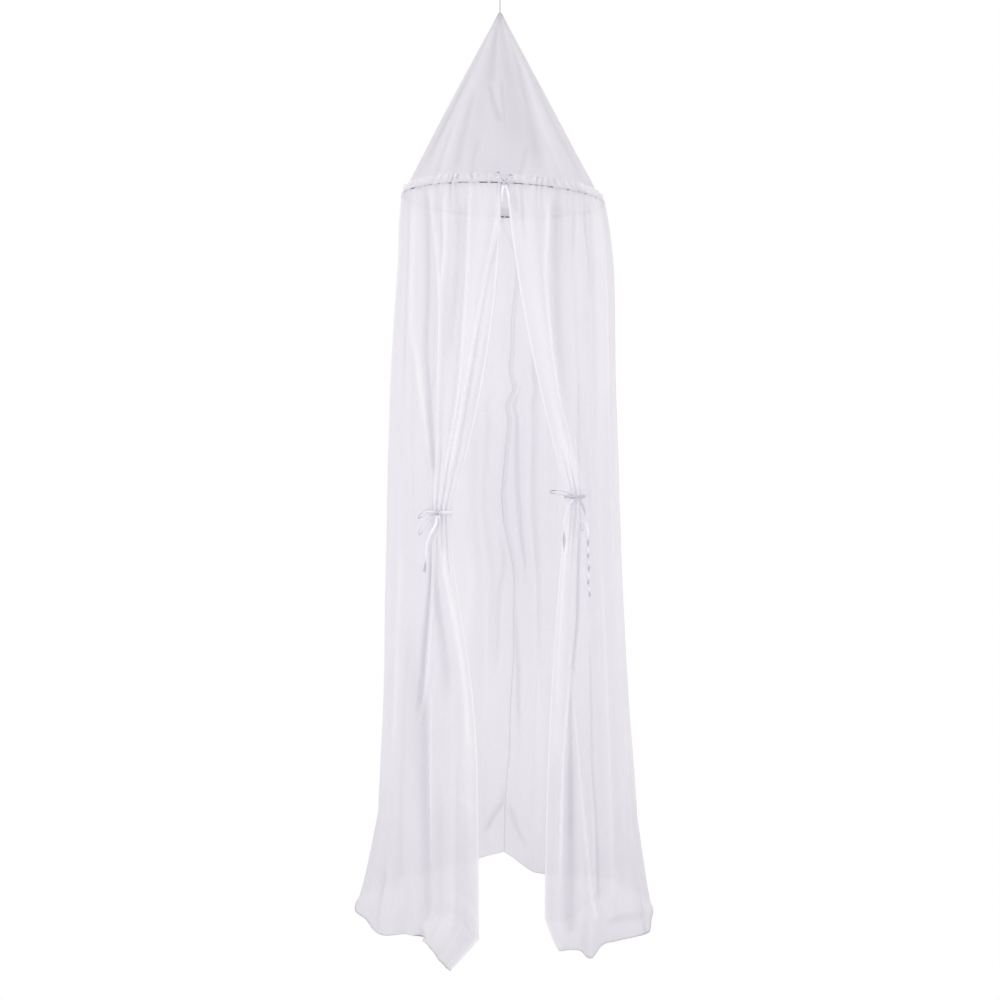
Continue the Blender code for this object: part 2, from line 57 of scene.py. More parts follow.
camera = bpy.data.objects.new("camera", bpy.data.cameras.new("camera"))
bpy.context.collection.objects.link(camera)
camera.location = (0.0, -EYE_DISTANCE, EYE_HEIGHT - DROP)
camera.rotation_euler = (math.radians(90.0), 0.0, 0.0)
camera.data.lens = LENS
camera.data.sensor_width = 36.0
camera.data.shift_y = LENS_SHIFT
bpy.context.scene.camera = camera
bpy.context.scene.view_settings.view_transform = "Standard"

# ---- hanging cord ----
# A thin polyester cord of three twisted strands, knotted into a small loop at the top. Its
# lower end goes through the tip of the roof, where the net is sewn round it.
CORD_DIAMETER = 0.003
CORD_STRANDS = 3
CORD_TWIST = 0.011
STRAND_RELIEF = 0.26
CORD_TOP = -0.0428
CORD_FOOT = -0.0961
LOOP_HALF_WIDTH = 0.007
LOOP_NECK = 0.0022
LOOP_FOOT = -0.0339
LOOP_SHOULDER = (0.0050, -0.023)
KNOT_TURNS = 1.75
KNOT_RADIUS = 0.0030
KNOT_FOOT = -0.0412
KNOT_TALL = 0.0060
CORD_WHITE = "#C9C9CE"
CORD_GREY = "#A4A4AB"


def linear(code, alpha=1.0):
    """An sRGB hex colour as linear numbers."""
    parts = [int(code[i : i + 2], 16) / 255.0 for i in (1, 3, 5)]
    return [p / 12.92 if p <= 0.04045 else ((p + 0.055) / 1.055) ** 2.4 for p in parts] + [alpha]


def add_node(tree, kind, settings=(), inputs=()):
    """Adds a node with its settings. An input's value is a constant or another node's output."""
    node = tree.nodes.new(kind)
    for name, value in dict(settings).items():
        setattr(node, name, value)
    for name, value in dict(inputs).items():
        if isinstance(value, bpy.types.NodeSocket):
            tree.links.new(value, node.inputs[name])
        else:
            node.inputs[name].default_value = value
    return node


def new_material(name):
    made = bpy.data.materials.new(name)
    made.use_nodes = True
    made.node_tree.nodes.clear()
    return made, made.node_tree


def object_from(name, bm, look):
    mesh = bpy.data.meshes.new(name)
    bm.to_mesh(mesh)
    bm.free()
    mesh.shade_smooth()
    made = bpy.data.objects.new(name, mesh)
    bpy.context.collection.objects.link(made)
    mesh.materials.append(look)
    return made


def through(xs, ys, x):
    """The values at x of a smooth curve through the points (xs, ys)."""
    order = np.arange(len(xs))
    low = np.maximum(order - 1, 0)
    high = np.minimum(order + 1, len(xs) - 1)
    slope = (ys[high] - ys[low]) / (xs[high] - xs[low])
    i = np.clip(np.searchsorted(xs, x, side="right") - 1, 0, len(xs) - 2)
    span = xs[i + 1] - xs[i]
    t = (x - xs[i]) / span
    start = (1.0 + 2.0 * t) * (1.0 - t) ** 2 * ys[i] + t * (1.0 - t) ** 2 * span * slope[i]
    end = t * t * (3.0 - 2.0 * t) * ys[i + 1] - t * t * (1.0 - t) * span * slope[i + 1]
    return start + end


def smooth_path(points, count):
    """count evenly numbered points on a smooth curve through a few points."""
    points = np.array(points, float)
    knots = np.arange(len(points), dtype=float)
    t = np.linspace(0.0, len(points) - 1.0, count)
    return np.column_stack([through(knots, points[:, k], t) for k in range(3)])


def along(path):
    """The unit directions of a path at its points."""
    way = np.gradient(path, axis=0)
    return way / np.linalg.norm(way, axis=1)[:, None]


def travelled(path):
    """How far along a path each of its points is."""
    return np.concatenate([[0.0], np.cumsum(np.linalg.norm(np.diff(path, axis=0), axis=1))])


def twisted_cord(name, path, look):
    """A three-strand cord along a path: rings with one bulge to a strand, turning as they go."""
    sides = 6 * CORD_STRANDS
    way = along(path)
    travel = travelled(path)
    bm = bmesh.new()
    bmesh.ops.create_grid(bm, x_segments=sides, y_segments=len(path) - 1)
    bm.verts.ensure_lookup_table()
    side = np.cross(way, (0.0, 1.0, 0.0))
    side /= np.linalg.norm(side, axis=1)[:, None]
    other = np.cross(way, side)
    for r in range(len(path)):
        for k in range(sides + 1):
            a = math.tau * k / sides
            bulge = abs(math.cos(CORD_STRANDS / 2.0 * (a - math.tau * travel[r] / CORD_TWIST)))
            reach = CORD_DIAMETER / 2.0 * (1.0 - STRAND_RELIEF + STRAND_RELIEF * bulge)
            bm.verts[r * (sides + 1) + k].co = path[r] + (
                side[r] * math.cos(a) + other[r] * math.sin(a)
            ) * reach
    bmesh.ops.remove_doubles(bm, verts=bm.verts, dist=1e-6)
    bmesh.ops.holes_fill(bm, edges=[e for e in bm.edges if e.is_boundary], sides=sides)
    bmesh.ops.recalc_face_normals(bm, faces=bm.faces)
    return object_from(name, bm, look)


# Twisted polyester yarn: matt white, with faint grey between the strands.
cord_yarn, tree = new_material("twisted_polyester_yarn")
place = add_node(tree, "ShaderNodeTexCoord")
fibres = add_node(
    tree,
    "ShaderNodeTexNoise",
    inputs={"Vector": place.outputs["Object"], "Scale": 900.0, "Detail": 3.0},
)
shade = add_node(
    tree,
    "ShaderNodeMix",
    {"data_type": "RGBA"},
    {"Factor": fibres.outputs["Fac"], "A": linear(CORD_GREY), "B": linear(CORD_WHITE)},
)
relief = add_node(
    tree,
    "ShaderNodeBump",
    inputs={"Height": fibres.outputs["Fac"], "Strength": 0.4, "Distance": 0.0003},
)
yarn = add_node(
    tree,
    "ShaderNodeBsdfPrincipled",
    inputs={
        "Base Color": shade.outputs["Result"],
        "Roughness": 0.75,
        "Sheen Weight": 0.2,
        "Normal": relief.outputs["Normal"],
    },
)
add_node(tree, "ShaderNodeOutputMaterial", inputs={"Surface": yarn.outputs["BSDF"]})

cord_path = np.linspace((0.0, 0.0, CORD_FOOT), (0.0, 0.0, CORD_TOP), 60)
hanging_cord = twisted_cord("canopy_cord", cord_path, cord_yarn)

shoulder_x, shoulder_z = LOOP_SHOULDER
loop_middle = -CORD_DIAMETER / 2.0 - LOOP_HALF_WIDTH
loop_line = [(-LOOP_NECK, 0.0, LOOP_FOOT), (-shoulder_x, 0.0, shoulder_z)]
for turn in np.linspace(math.pi, 0.0, 9):
    loop_line.append(
        (math.cos(turn) * LOOP_HALF_WIDTH, 0.0, math.sin(turn) * LOOP_HALF_WIDTH + loop_middle)
    )
loop_line += [(shoulder_x, 0.0, shoulder_z), (LOOP_NECK, 0.0, LOOP_FOOT)]
hanging_loop = twisted_cord("canopy_loop", smooth_path(loop_line, 90), cord_yarn)

# The knot's coil is a little wider than deep, and uneven.
coil = np.linspace(0.0, 1.0, 40)
turn = math.tau * KNOT_TURNS * coil
swell = KNOT_RADIUS + 0.0004 * np.sin(3.0 * turn)
knot_line = np.column_stack(
    [np.cos(turn) * swell * 1.15, np.sin(turn) * swell, KNOT_FOOT + KNOT_TALL * coil]
)
hanging_knot = twisted_cord("canopy_cord_knot", knot_line, cord_yarn)

for piece, node in (
    (hanging_cord, "hanging_cord"),
    (hanging_loop, "hanging_loop"),
    (hanging_knot, "hanging_knot"),
):
    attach(piece, "root")
    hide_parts(node)

# ---- ribbon ties ----
# Narrow white satin ribbon. One piece goes round the gathered edge of each panel and is tied
# in a small bow on the outside, and a third is tied over the hoop at the top of the opening.
# The free ends hang down and turn over, so that the dull back, painted a darker grey as
# shade, shows in short dashes.
RIBBON_WIDTH = 0.007
RIBBON_THICK = 0.0004
RIBBON_CROWN = 0.0004
RIBBON_SPACING = 0.0025
BAND_WIDTH = 0.008
BAND_CROWN = 0.0003
BAND_OPENING = math.radians(17.0)
LOOP_WIDTH = 0.006
LOOP_OPENING = 0.006
LOOP_LEAN = 0.0016
LOOP_START = 0.30
LOOP_SHADE = 0.80
KNOT_SIZE = (0.013, 0.009, 0.011)
KNOT_BALL = 0.42
TURN_WIDTH = 0.0042
TURN_LEANS = (0.9, -0.7)
SATIN_FACE = "#F4F2FA"
# The back is a darker grey as painted shade.
SATIN_BACK_SHADE = "#CBC9D5"

# A tail is its route from the knot's centre (to the right, towards the front, up) and the
# turns of the ribbon about its own line at the route's points, in half turns.
Tail = namedtuple("Tail", "length turns route")
# A bow is its knot's centre, its loops (middle and far end) and its tails.
Bow = namedtuple("Bow", "name knot loops tails")

BOWS = (
    Bow(
        name="left_tie",
        knot=(-0.15732, -0.25719, -1.43000),
        loops=(
            ((-0.026, 0.007, 0.004), (-0.048, 0.010, -0.013)),
            ((-0.026, 0.007, -0.020), (-0.047, 0.009, -0.056)),
        ),
        tails=(
            Tail(
                length=0.151,
                turns=(1.0, 1.12, 1.10, 1.15, 1.2, 2.1),
                route=(
                    (-0.002, 0.0005, -0.0059), (-0.003, 0.012, -0.026), (-0.017, 0.016, -0.053),
                    (-0.0265, 0.0125, -0.08), (-0.028, 0.012, -0.105), (-0.032, 0.011, -0.148),
                ),
            ),
            Tail(
                length=0.0767,
                turns=(1.0, 1.30, 1.38, 1.32),
                route=(
                    (0.003, 0.0005, -0.0056), (0.005, 0.008, -0.022), (0.001, 0.014, -0.048),
                    (-0.008, 0.016, -0.078),
                ),
            ),
        ),
    ),
    Bow(
        name="right_tie",
        knot=(0.18704, -0.25889, -1.39000),
        loops=(
            ((-0.024, 0.004, 0.009), (-0.062, 0.005, 0.013)),
            ((0.012, 0.006, -0.033), (0.021, 0.008, -0.085)),
        ),
        tails=(
            Tail(
                length=0.263,
                turns=(2.0, 2.0, 1.6, 1.0, 2.0, 4.0, 6.0, 8.0, 10.0, 10.7),
                route=(
                    (0.007, 0.001, -0.002), (0.017, 0.01, -0.016), (0.026, 0.016, -0.044),
                    (0.0325, 0.013, -0.083), (0.0337, 0.011, -0.1157), (0.034, 0.01, -0.148),
                    (0.0358, 0.0095, -0.179), (0.0342, 0.0095, -0.214), (0.0377, 0.01, -0.244),
                    (0.039, 0.0105, -0.2565),
                ),
            ),
            Tail(
                length=0.1407,
                turns=(1.0, 1.3, 1.35, 1.25, 2.0, 2.6),
                route=(
                    (-0.0028, 0.0005, -0.0059), (-0.013, 0.009, -0.018), (-0.0226, 0.011, -0.04),
                    (-0.0272, 0.012, -0.07), (-0.0264, 0.0125, -0.108), (-0.0264, 0.0125, -0.138),
                ),
            ),
        ),
    ),
    Bow(
        name="top_tie",
        knot=(0.01050, -0.27460, -0.60311),
        loops=(
            ((-0.011, 0.0075, 0.012), (-0.017, 0.0075, 0.024)),
            ((0.011, 0.0075, 0.010), (0.020, 0.0075, 0.016)),
        ),
        tails=(
            Tail(
                length=0.0476,
                turns=(1.0, 1.1, 1.3, 1.4),
                route=(
                    (-0.002, 0.0005, -0.0059), (-0.0045, 0.0055, -0.02), (-0.0055, 0.0085, -0.036),
                    (-0.004, 0.009, -0.052),
                ),
            ),
            Tail(
                length=0.0627,
                turns=(1.0, 0.9, 1.2, 1.3),
                route=(
                    (0.003, 0.0005, -0.0056), (0.008, 0.0055, -0.02), (0.0115, 0.009, -0.042),
                    (0.0125, 0.01, -0.066),
                ),
            ),
        ),
    ),
)
# A band is the ribbon round a gathered edge: an ellipse in plan, with its long axis turned by
# heading degrees.
Band = namedtuple("Band", "name centre long short heading side height")
BANDS = (
    Band("left_tie_band", (-0.15075, -0.2340), 0.03271, 0.01860, -15.81, -1, -1.430),
    Band("right_tie_band", (0.1895, -0.2330), 0.02818, 0.01918, -158.20, 1, -1.390),
)


def satin(name, colour, roughness):
    """Satin weave: the face has long floats that shine softly, and the back is dull."""
    made, tree = new_material(name)
    uv = add_node(tree, "ShaderNodeUVMap", {"uv_map": "flat"})
    floats = add_node(
        tree,
        "ShaderNodeMapping",
        inputs={"Vector": uv.outputs["UV"], "Scale": (2400.0, 90.0, 1.0)},
    )
    threads = add_node(
        tree,
        "ShaderNodeTexNoise",
        inputs={"Vector": floats.outputs["Vector"], "Scale": 1.0, "Detail": 2.0},
    )
    dark = [c * 0.90 for c in linear(colour)[:3]] + [1.0]
    shade = add_node(
        tree,
        "ShaderNodeMix",
        {"data_type": "RGBA"},
        {"Factor": threads.outputs["Fac"], "A": dark, "B": linear(colour)},
    )
    gloss = add_node(
        tree,
        "ShaderNodeMapRange",
        inputs={"Value": threads.outputs["Fac"], "To Min": roughness - 0.08, "To Max": roughness},
    )
    relief = add_node(
        tree,
        "ShaderNodeBump",
        inputs={"Height": threads.outputs["Fac"], "Strength": 0.15, "Distance": 0.0002},
    )
    face = add_node(
        tree,
        "ShaderNodeBsdfPrincipled",
        inputs={
            "Base Color": shade.outputs["Result"],
            "Roughness": gloss.outputs["Result"],
            "Sheen Weight": 0.15,
            "Normal": relief.outputs["Normal"],
        },
    )
    add_node(tree, "ShaderNodeOutputMaterial", inputs={"Surface": face.outputs["BSDF"]})
    return made


satin_face = satin("white_satin_ribbon_face", SATIN_FACE, 0.42)
# The back's darker grey is painted shade, for the turned ends and the insides of the loops.
satin_back_shade = satin("white_satin_ribbon_back", SATIN_BACK_SHADE, 0.62)


def grid_sheet(name, places, flat, looks, fold=None):
    """A sheet through rows of places, with the flat cut's metres in its UV map."""
    rows, columns = places.shape[:2]
    bm = bmesh.new()
    bm.loops.layers.uv.new("flat")
    bmesh.ops.create_grid(bm, x_segments=columns - 1, y_segments=rows - 1, calc_uvs=True)
    made = object_from(name, bm, looks[0])
    for look in looks[1:]:
        made.data.materials.append(look)
    made.data.vertices.foreach_set("co", places.reshape(-1))
    layer = made.data.uv_layers["flat"]
    corners = np.zeros(len(made.data.loops), dtype=np.int32)
    made.data.loops.foreach_get("vertex_index", corners)
    layer.uv.foreach_set("vector", flat.reshape(-1, 2)[corners].astype(np.float32).reshape(-1))
    if fold is not None:
        values = made.data.attributes.new("fold", "FLOAT", "POINT")
        values.data.foreach_set("value", fold.astype(np.float32).reshape(-1))
    made.data.update()
    return made


def ribbon(name, path, across, width, turns=None, crown=0.0):
    """A ribbon along a path. across is its width's direction, and turns twist it, in half turns."""
    way = along(path)
    across = np.broadcast_to(np.array(across, float), path.shape)
    wide = across - way * (across * way).sum(axis=1)[:, None]
    wide /= np.linalg.norm(wide, axis=1)[:, None]
    up = np.cross(way, wide)
    if turns is not None:
        a = math.pi * np.array(turns)[:, None]
        wide, up = wide * np.cos(a) + up * np.sin(a), up * np.cos(a) - wide * np.sin(a)
    share = np.linspace(-0.5, 0.5, 5)
    places = (
        path[:, None]
        + wide[:, None] * (share * width)[None, :, None]
        + up[:, None] * (crown * (0.25 - share**2) * 4.0)[None, :, None]
    )
    flat = np.stack(np.broadcast_arrays(share[None] * width, travelled(path)[:, None]), axis=-1)
    made = grid_sheet(name, places, flat, [satin_face, satin_back_shade])
    thick = made.modifiers.new("Ribbon", "SOLIDIFY")
    thick.thickness = RIBBON_THICK
    thick.offset = 0.0
    thick.material_offset = 1
    return made


def at_knot(bow, points):
    """Places given from a knot's centre, in the canopy's own frame."""
    return np.array(bow.knot) + np.array(points, float) * (1.0, -1.0, 1.0)


def build_loop(bow, number, middle, end):
    """A loop of the bow: out over its far end and back into the knot."""
    line = np.array([(0.0, 0.0, 0.0), middle, end]) * (1.0, -1.0, 1.0)
    sideways = np.cross((0.0, -1.0, 0.0), line[2])
    sideways /= np.linalg.norm(sideways)
    a = np.linspace(LOOP_START, math.tau - LOOP_START, 41)
    reach = (1.0 - np.cos(a)) / 2.0
    knots = np.array([0.0, 1.0, 2.0])
    path = np.array(bow.knot) + np.column_stack(
        [through(knots, line[:, k], 2.0 * reach) for k in range(3)]
    )
    path += sideways * (np.sin(a) * LOOP_OPENING * (0.5 + 0.5 * reach))[:, None]
    path[:, 1] -= LOOP_LEAN * np.sin(a)
    piece = ribbon(f"{bow.name}_loop_{number}", path, (0.0, -1.0, 0.45), LOOP_WIDTH)
    # Both sides show the white face, and the far end takes the back's darker grey as painted
    # shade inside the loop.
    piece.modifiers["Ribbon"].material_offset = 0
    for face in piece.data.polygons:
        middle_of = sum((Vector(piece.data.vertices[i].co) for i in face.vertices), Vector())
        out = (middle_of / len(face.vertices) - Vector(bow.knot)).length
        face.material_index = int(out > LOOP_SHADE * np.linalg.norm(line[2]))
    return piece


def build_knot(bow):
    """The knot: a pinched ball of ribbon with two turns laid over it crosswise."""
    bm = bmesh.new()
    bmesh.ops.create_icosphere(bm, subdivisions=4, radius=0.5)
    for v in bm.verts:
        n = v.co.normalized()
        crease = 0.055 * math.sin(9.0 * n.x + 4.0 * n.z) + 0.04 * math.sin(7.0 * n.z - 3.0 * n.y)
        v.co = n * (KNOT_BALL + crease)
        v.co = Vector([v.co[k] * KNOT_SIZE[k] for k in range(3)]) + Vector(bow.knot)
    pieces = [object_from(f"{bow.name}_knot", bm, satin_face)]
    a = np.linspace(0.0, math.tau, 33)
    for i, lean in enumerate(TURN_LEANS):
        over = np.column_stack([np.cos(a) * math.sin(lean), -np.sin(a), np.cos(a)]) * 0.5
        over = over * np.array(KNOT_SIZE) * (0.96 + 0.03 * i) + np.array(bow.knot)
        across = (math.cos(lean), 0.0, 0.0)
        pieces.append(ribbon(f"{bow.name}_turn_{i + 1}", over, across, TURN_WIDTH))
    return pieces


def join(name, pieces):
    """Several pieces of one ribbon as one piece, their thickness applied."""
    bm = bmesh.new()
    graph = bpy.context.evaluated_depsgraph_get()
    for piece in pieces:
        solid = piece.evaluated_get(graph)
        mesh = solid.to_mesh()
        if len(mesh.uv_layers) == 0:
            mesh.uv_layers.new(name="flat")
        bm.from_mesh(mesh)
        solid.to_mesh_clear()
    for piece in pieces:
        bpy.data.objects.remove(piece, do_unlink=True)
    made = object_from(name, bm, satin_face)
    made.data.materials.append(satin_back_shade)
    return made


for bow in BOWS:
    bpy.context.view_layer.update()
    parts = build_knot(bow)
    for number, (middle, end) in enumerate(bow.loops, start=1):
        parts.append(build_loop(bow, number, middle, end))
    bpy.context.view_layer.update()
    body = join(f"{bow.name}_ribbon_bow", parts)
    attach(body, "root")
    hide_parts(f"{bow.name}_bow")
    for number, tail in enumerate(bow.tails, start=1):
        count = max(24, round(tail.length / RIBBON_SPACING))
        path = smooth_path(at_knot(bow, tail.route), count)
        t = np.linspace(0.0, len(tail.turns) - 1.0, count)
        turns = through(np.arange(len(tail.turns), dtype=float), np.array(tail.turns), t)
        name = f"{bow.name}_ribbon_end_{number}"
        end_piece = ribbon(name, path, (1.0, 0.0, 0.0), RIBBON_WIDTH, turns, RIBBON_CROWN)
        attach(end_piece, "root")
        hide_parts(f"{bow.name}_tail_{number}")

for band in BANDS:
    heading = math.radians(band.heading)
    lengthwise = np.array((math.cos(heading), math.sin(heading), 0.0))
    outward = np.array((-lengthwise[1], lengthwise[0], 0.0)) * band.side
    a = np.linspace(BAND_OPENING, math.tau - BAND_OPENING, 90)
    path = (
        np.array((*band.centre, band.height))
        - np.outer(np.cos(a) * band.long, lengthwise)
        + np.outer(np.sin(a) * band.short, outward)
    )
    path[:, 2] += 0.0009 * np.sin(3.0 * a + 0.6) + 0.0005 * np.sin(8.0 * a)
    down = (0.0, 0.0, -1.0)
    piece = ribbon(f"{band.name}_ribbon", path, down, BAND_WIDTH, crown=BAND_CROWN)
    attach(piece, "root")
    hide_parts(band.name)

# ---- hoop ----
# A ring of plain dark steel wire, 3.6 mm thick. It is threaded in and out of the curtains'
# heading, so it shows in short dashes.
HOOP_H = 1.897
HOOP_RADIUS = 0.268
HOOP_WIRE = 0.0018
HOOP_CENTRE = (0.008, 0.0)
HOOP_TILT = math.radians(2.5)
STEEL_DARK = "#4A4852"
STEEL_LIGHT = "#6C6A74"

# Drawn steel wire: dark and slightly glossy, with fine drawing marks round it.
wire, tree = new_material("drawn_steel_wire")
place = add_node(tree, "ShaderNodeTexCoord")
marks = add_node(
    tree,
    "ShaderNodeTexNoise",
    inputs={"Vector": place.outputs["Object"], "Scale": 260.0, "Detail": 4.0},
)
tone = add_node(
    tree,
    "ShaderNodeMix",
    {"data_type": "RGBA"},
    {"Factor": marks.outputs["Fac"], "A": linear(STEEL_DARK), "B": linear(STEEL_LIGHT)},
)
gloss = add_node(
    tree,
    "ShaderNodeMapRange",
    inputs={"Value": marks.outputs["Fac"], "To Min": 0.32, "To Max": 0.5},
)
steel = add_node(
    tree,
    "ShaderNodeBsdfPrincipled",
    inputs={
        "Base Color": tone.outputs["Result"],
        "Metallic": 0.6,
        "Roughness": gloss.outputs["Result"],
    },
)
add_node(tree, "ShaderNodeOutputMaterial", inputs={"Surface": steel.outputs["BSDF"]})

bm = bmesh.new()
rim = bmesh.ops.create_circle(bm, segments=10, radius=HOOP_WIRE)["verts"]
for v in rim:
    v.co = Vector((HOOP_RADIUS + v.co.x, 0.0, v.co.y))
bmesh.ops.spin(
    bm,
    geom=bm.edges[:],
    cent=(0.0, 0.0, 0.0),
    axis=(0.0, 0.0, 1.0),
    angle=math.tau,
    steps=144,
    use_merge=True,
)
for v in bm.verts:
    v.co.z += HOOP_H - DROP - v.co.x * math.tan(HOOP_TILT)
    v.co.x += HOOP_CENTRE[0]
bmesh.ops.recalc_face_normals(bm, faces=bm.faces)
hoop = object_from("wire_hoop", bm, wire)
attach(hoop, "root")
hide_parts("hoop")

# ---- roof ----
# One cone of sheer polyester voile, gathered at the tip round the cord and held out by the
# hoop. The cloth pulls into soft radial troughs between the tip and the hoop.
TIP_H = 2.403
TIP_RADIUS = 0.004
CLOTH = 0.0012
GAP = 0.0003
ROOF_FOLD_DEPTH = 0.004
TIP_GATHERS = 11.0
TIP_GATHER_DEPTH = 0.0012
Wave = namedtuple("Wave", "folds share turn")
ROOF_WAVES = (Wave(9, 0.6, 0.7), Wave(5, 0.4, 2.1))
# A trough starts and ends at an azimuth and a share of the way from the tip to the hoop. It
# fades over its first and last quarter, covers fewer degrees on its way down, and has a low
# ridge beside it.
Trough = namedtuple("Trough", "from_az to_az start stop width depth")
TROUGH_FADE = 0.25
TROUGH_NARROWING = 0.4
RIDGE_SHARE = 0.3
RIDGE_BESIDE = 1.7
ROOF_TROUGHS = (
    Trough(37.0, 22.0, 0.12, 0.99, 4.6, 0.0060),
    Trough(-16.0, 1.0, 0.42, 0.70, 2.6, 0.0052),
    Trough(1.0, 3.0, 0.36, 0.74, 1.6, 0.0030),
    Trough(-36.0, -29.0, 0.42, 1.00, 3.2, 0.0048),
    Trough(-47.0, -42.0, 0.62, 1.02, 2.4, 0.0036),
    Trough(-22.0, -12.0, 0.04, 0.50, 6.0, 0.0040),
    Trough(-17.0, -19.0, 0.74, 1.02, 1.6, 0.0028),
    Trough(18.0, 7.0, 0.78, 1.02, 1.5, 0.0030),
    Trough(33.0, 36.0, 0.66, 1.00, 2.6, 0.0022),
    Trough(52.0, 57.0, 0.45, 0.95, 4.0, 0.0026),
    Trough(-66.0, -61.0, 0.35, 0.92, 5.0, 0.0032),
    Trough(88.0, 83.0, 0.20, 0.90, 6.0, 0.0038),
    Trough(121.0, 127.0, 0.30, 0.98, 4.5, 0.0034),
    Trough(158.0, 151.0, 0.15, 0.85, 5.5, 0.0040),
    Trough(-172.0, -178.0, 0.40, 1.00, 4.0, 0.0030),
    Trough(-140.0, -146.0, 0.25, 0.95, 5.5, 0.0040),
    Trough(-104.0, -98.0, 0.35, 0.90, 5.0, 0.0032),
)
# The roof's painted shading: its plain value, how much stand changes it fully, so that
# troughs are painted darker and ridges lighter, and painted shade added by place: at the tip,
# where the gathered net is denser, and in the front's middle.
ROOF_TONE = 0.54
ROOF_SHADE = 0.021
TIP_SHADE = -0.42
TIP_REACH = 0.07
ROOF_FRONT_SHADE = -0.24
ROOF_FRONT = (-6.0, 22.0)


def smooth(t):
    """Goes from 0 to 1 with flat ends."""
    t = np.clip(t, 0.0, 1.0)
    return t * t * (3.0 - 2.0 * t)


def rise(x, start, over):
    """0 up to the start, and 1 from a length over past it, with flat ends."""
    return smooth((x - start) / over)


def hump(x, middle, reach):
    """A soft hump: 1 at the middle, and near 0 at twice the reach from it."""
    return np.exp(-(((x - middle) / reach) ** 2))


def hoop_place(azimuth, radius):
    """The plan place at an azimuth in degrees from the front, + to the right."""
    a = np.radians(azimuth)
    return HOOP_CENTRE[0] + np.sin(a) * radius, HOOP_CENTRE[1] - np.cos(a) * radius


def hoop_height(x):
    return HOOP_H - (x - HOOP_CENTRE[0]) * math.tan(HOOP_TILT)


def voile(name, trough, ridge, sheer, through_share):
    """Polyester voile: plain weave of very fine thread, so light comes through it softly.

    Threads are 0.35 mm apart, too fine to show, so the weave is drawn as uneven thicker
    threads a few millimetres apart, lengthwise and crosswise. The colour is painted light and
    shade: it goes from a lavender for troughs, as painted shade, to a white for ridges, as
    painted highlight, and the sheet's own painted shading values say where it is which.
    """
    made, tree = new_material(name)
    uv = add_node(tree, "ShaderNodeUVMap", {"uv_map": "flat"})
    threads = []
    for scale in ((1300.0, 22.0, 1.0), (22.0, 1300.0, 1.0)):
        drawn = add_node(
            tree,
            "ShaderNodeMapping",
            inputs={"Vector": uv.outputs["UV"], "Scale": scale},
        )
        thread = add_node(
            tree,
            "ShaderNodeTexNoise",
            inputs={"Vector": drawn.outputs["Vector"], "Scale": 1.0, "Detail": 2.0},
        )
        threads.append(thread.outputs["Fac"])
    weave = add_node(
        tree,
        "ShaderNodeMath",
        {"operation": "MULTIPLY"},
        {0: threads[0], 1: threads[1]},
    )
    clouds = add_node(
        tree,
        "ShaderNodeTexNoise",
        inputs={"Vector": uv.outputs["UV"], "Scale": 7.0, "Detail": 2.0},
    )
    # The painted shading: 0 gives a trough's painted shade and 1 a ridge's painted highlight.
    fold = add_node(tree, "ShaderNodeAttribute", {"attribute_name": "fold"})
    light = add_node(
        tree,
        "ShaderNodeMath",
        {"operation": "MULTIPLY_ADD", "use_clamp": True},
        {0: clouds.outputs["Fac"], 1: 0.16, 2: fold.outputs["Fac"]},
    )
    tint = add_node(
        tree,
        "ShaderNodeMix",
        {"data_type": "RGBA"},
        {"Factor": light.outputs["Value"], "A": linear(trough), "B": linear(ridge)},
    )
    relief = add_node(
        tree,
        "ShaderNodeBump",
        inputs={"Height": weave.outputs["Value"], "Strength": 0.12, "Distance": 0.0004},
    )
    front = add_node(
        tree,
        "ShaderNodeBsdfPrincipled",
        inputs={
            "Base Color": tint.outputs["Result"],
            "Roughness": 0.7,
            "Specular IOR Level": 0.25,
            "Sheen Weight": 0.1,
            "Normal": relief.outputs["Normal"],
        },
    )
    behind = add_node(
        tree,
        "ShaderNodeBsdfTranslucent",
        inputs={"Color": tint.outputs["Result"], "Normal": relief.outputs["Normal"]},
    )
    cloth = add_node(
        tree,
        "ShaderNodeMixShader",
        inputs={0: through_share, 1: front.outputs["BSDF"], 2: behind.outputs["BSDF"]},
    )
    # The weave is more open between the thicker threads.
    clear = add_node(tree, "ShaderNodeBsdfTransparent")
    openness = add_node(
        tree,
        "ShaderNodeMapRange",
        inputs={
            "Value": weave.outputs["Value"],
            "From Min": 0.1,
            "From Max": 0.4,
            "To Min": sheer * 1.25,
            "To Max": sheer * 0.75,
        },
    )
    surface = add_node(
        tree,
        "ShaderNodeMixShader",
        inputs={0: openness.outputs["Result"], 1: cloth.outputs["Shader"], 2: clear.outputs[0]},
    )
    add_node(tree, "ShaderNodeOutputMaterial", inputs={"Surface": surface.outputs["Shader"]})
    return made


# Its trough colour is painted shade and its ridge colour painted highlight.
roof_voile = voile("polyester_voile_roof", "#D2CFD6", "#F6F4F8", 0.09, 0.42)

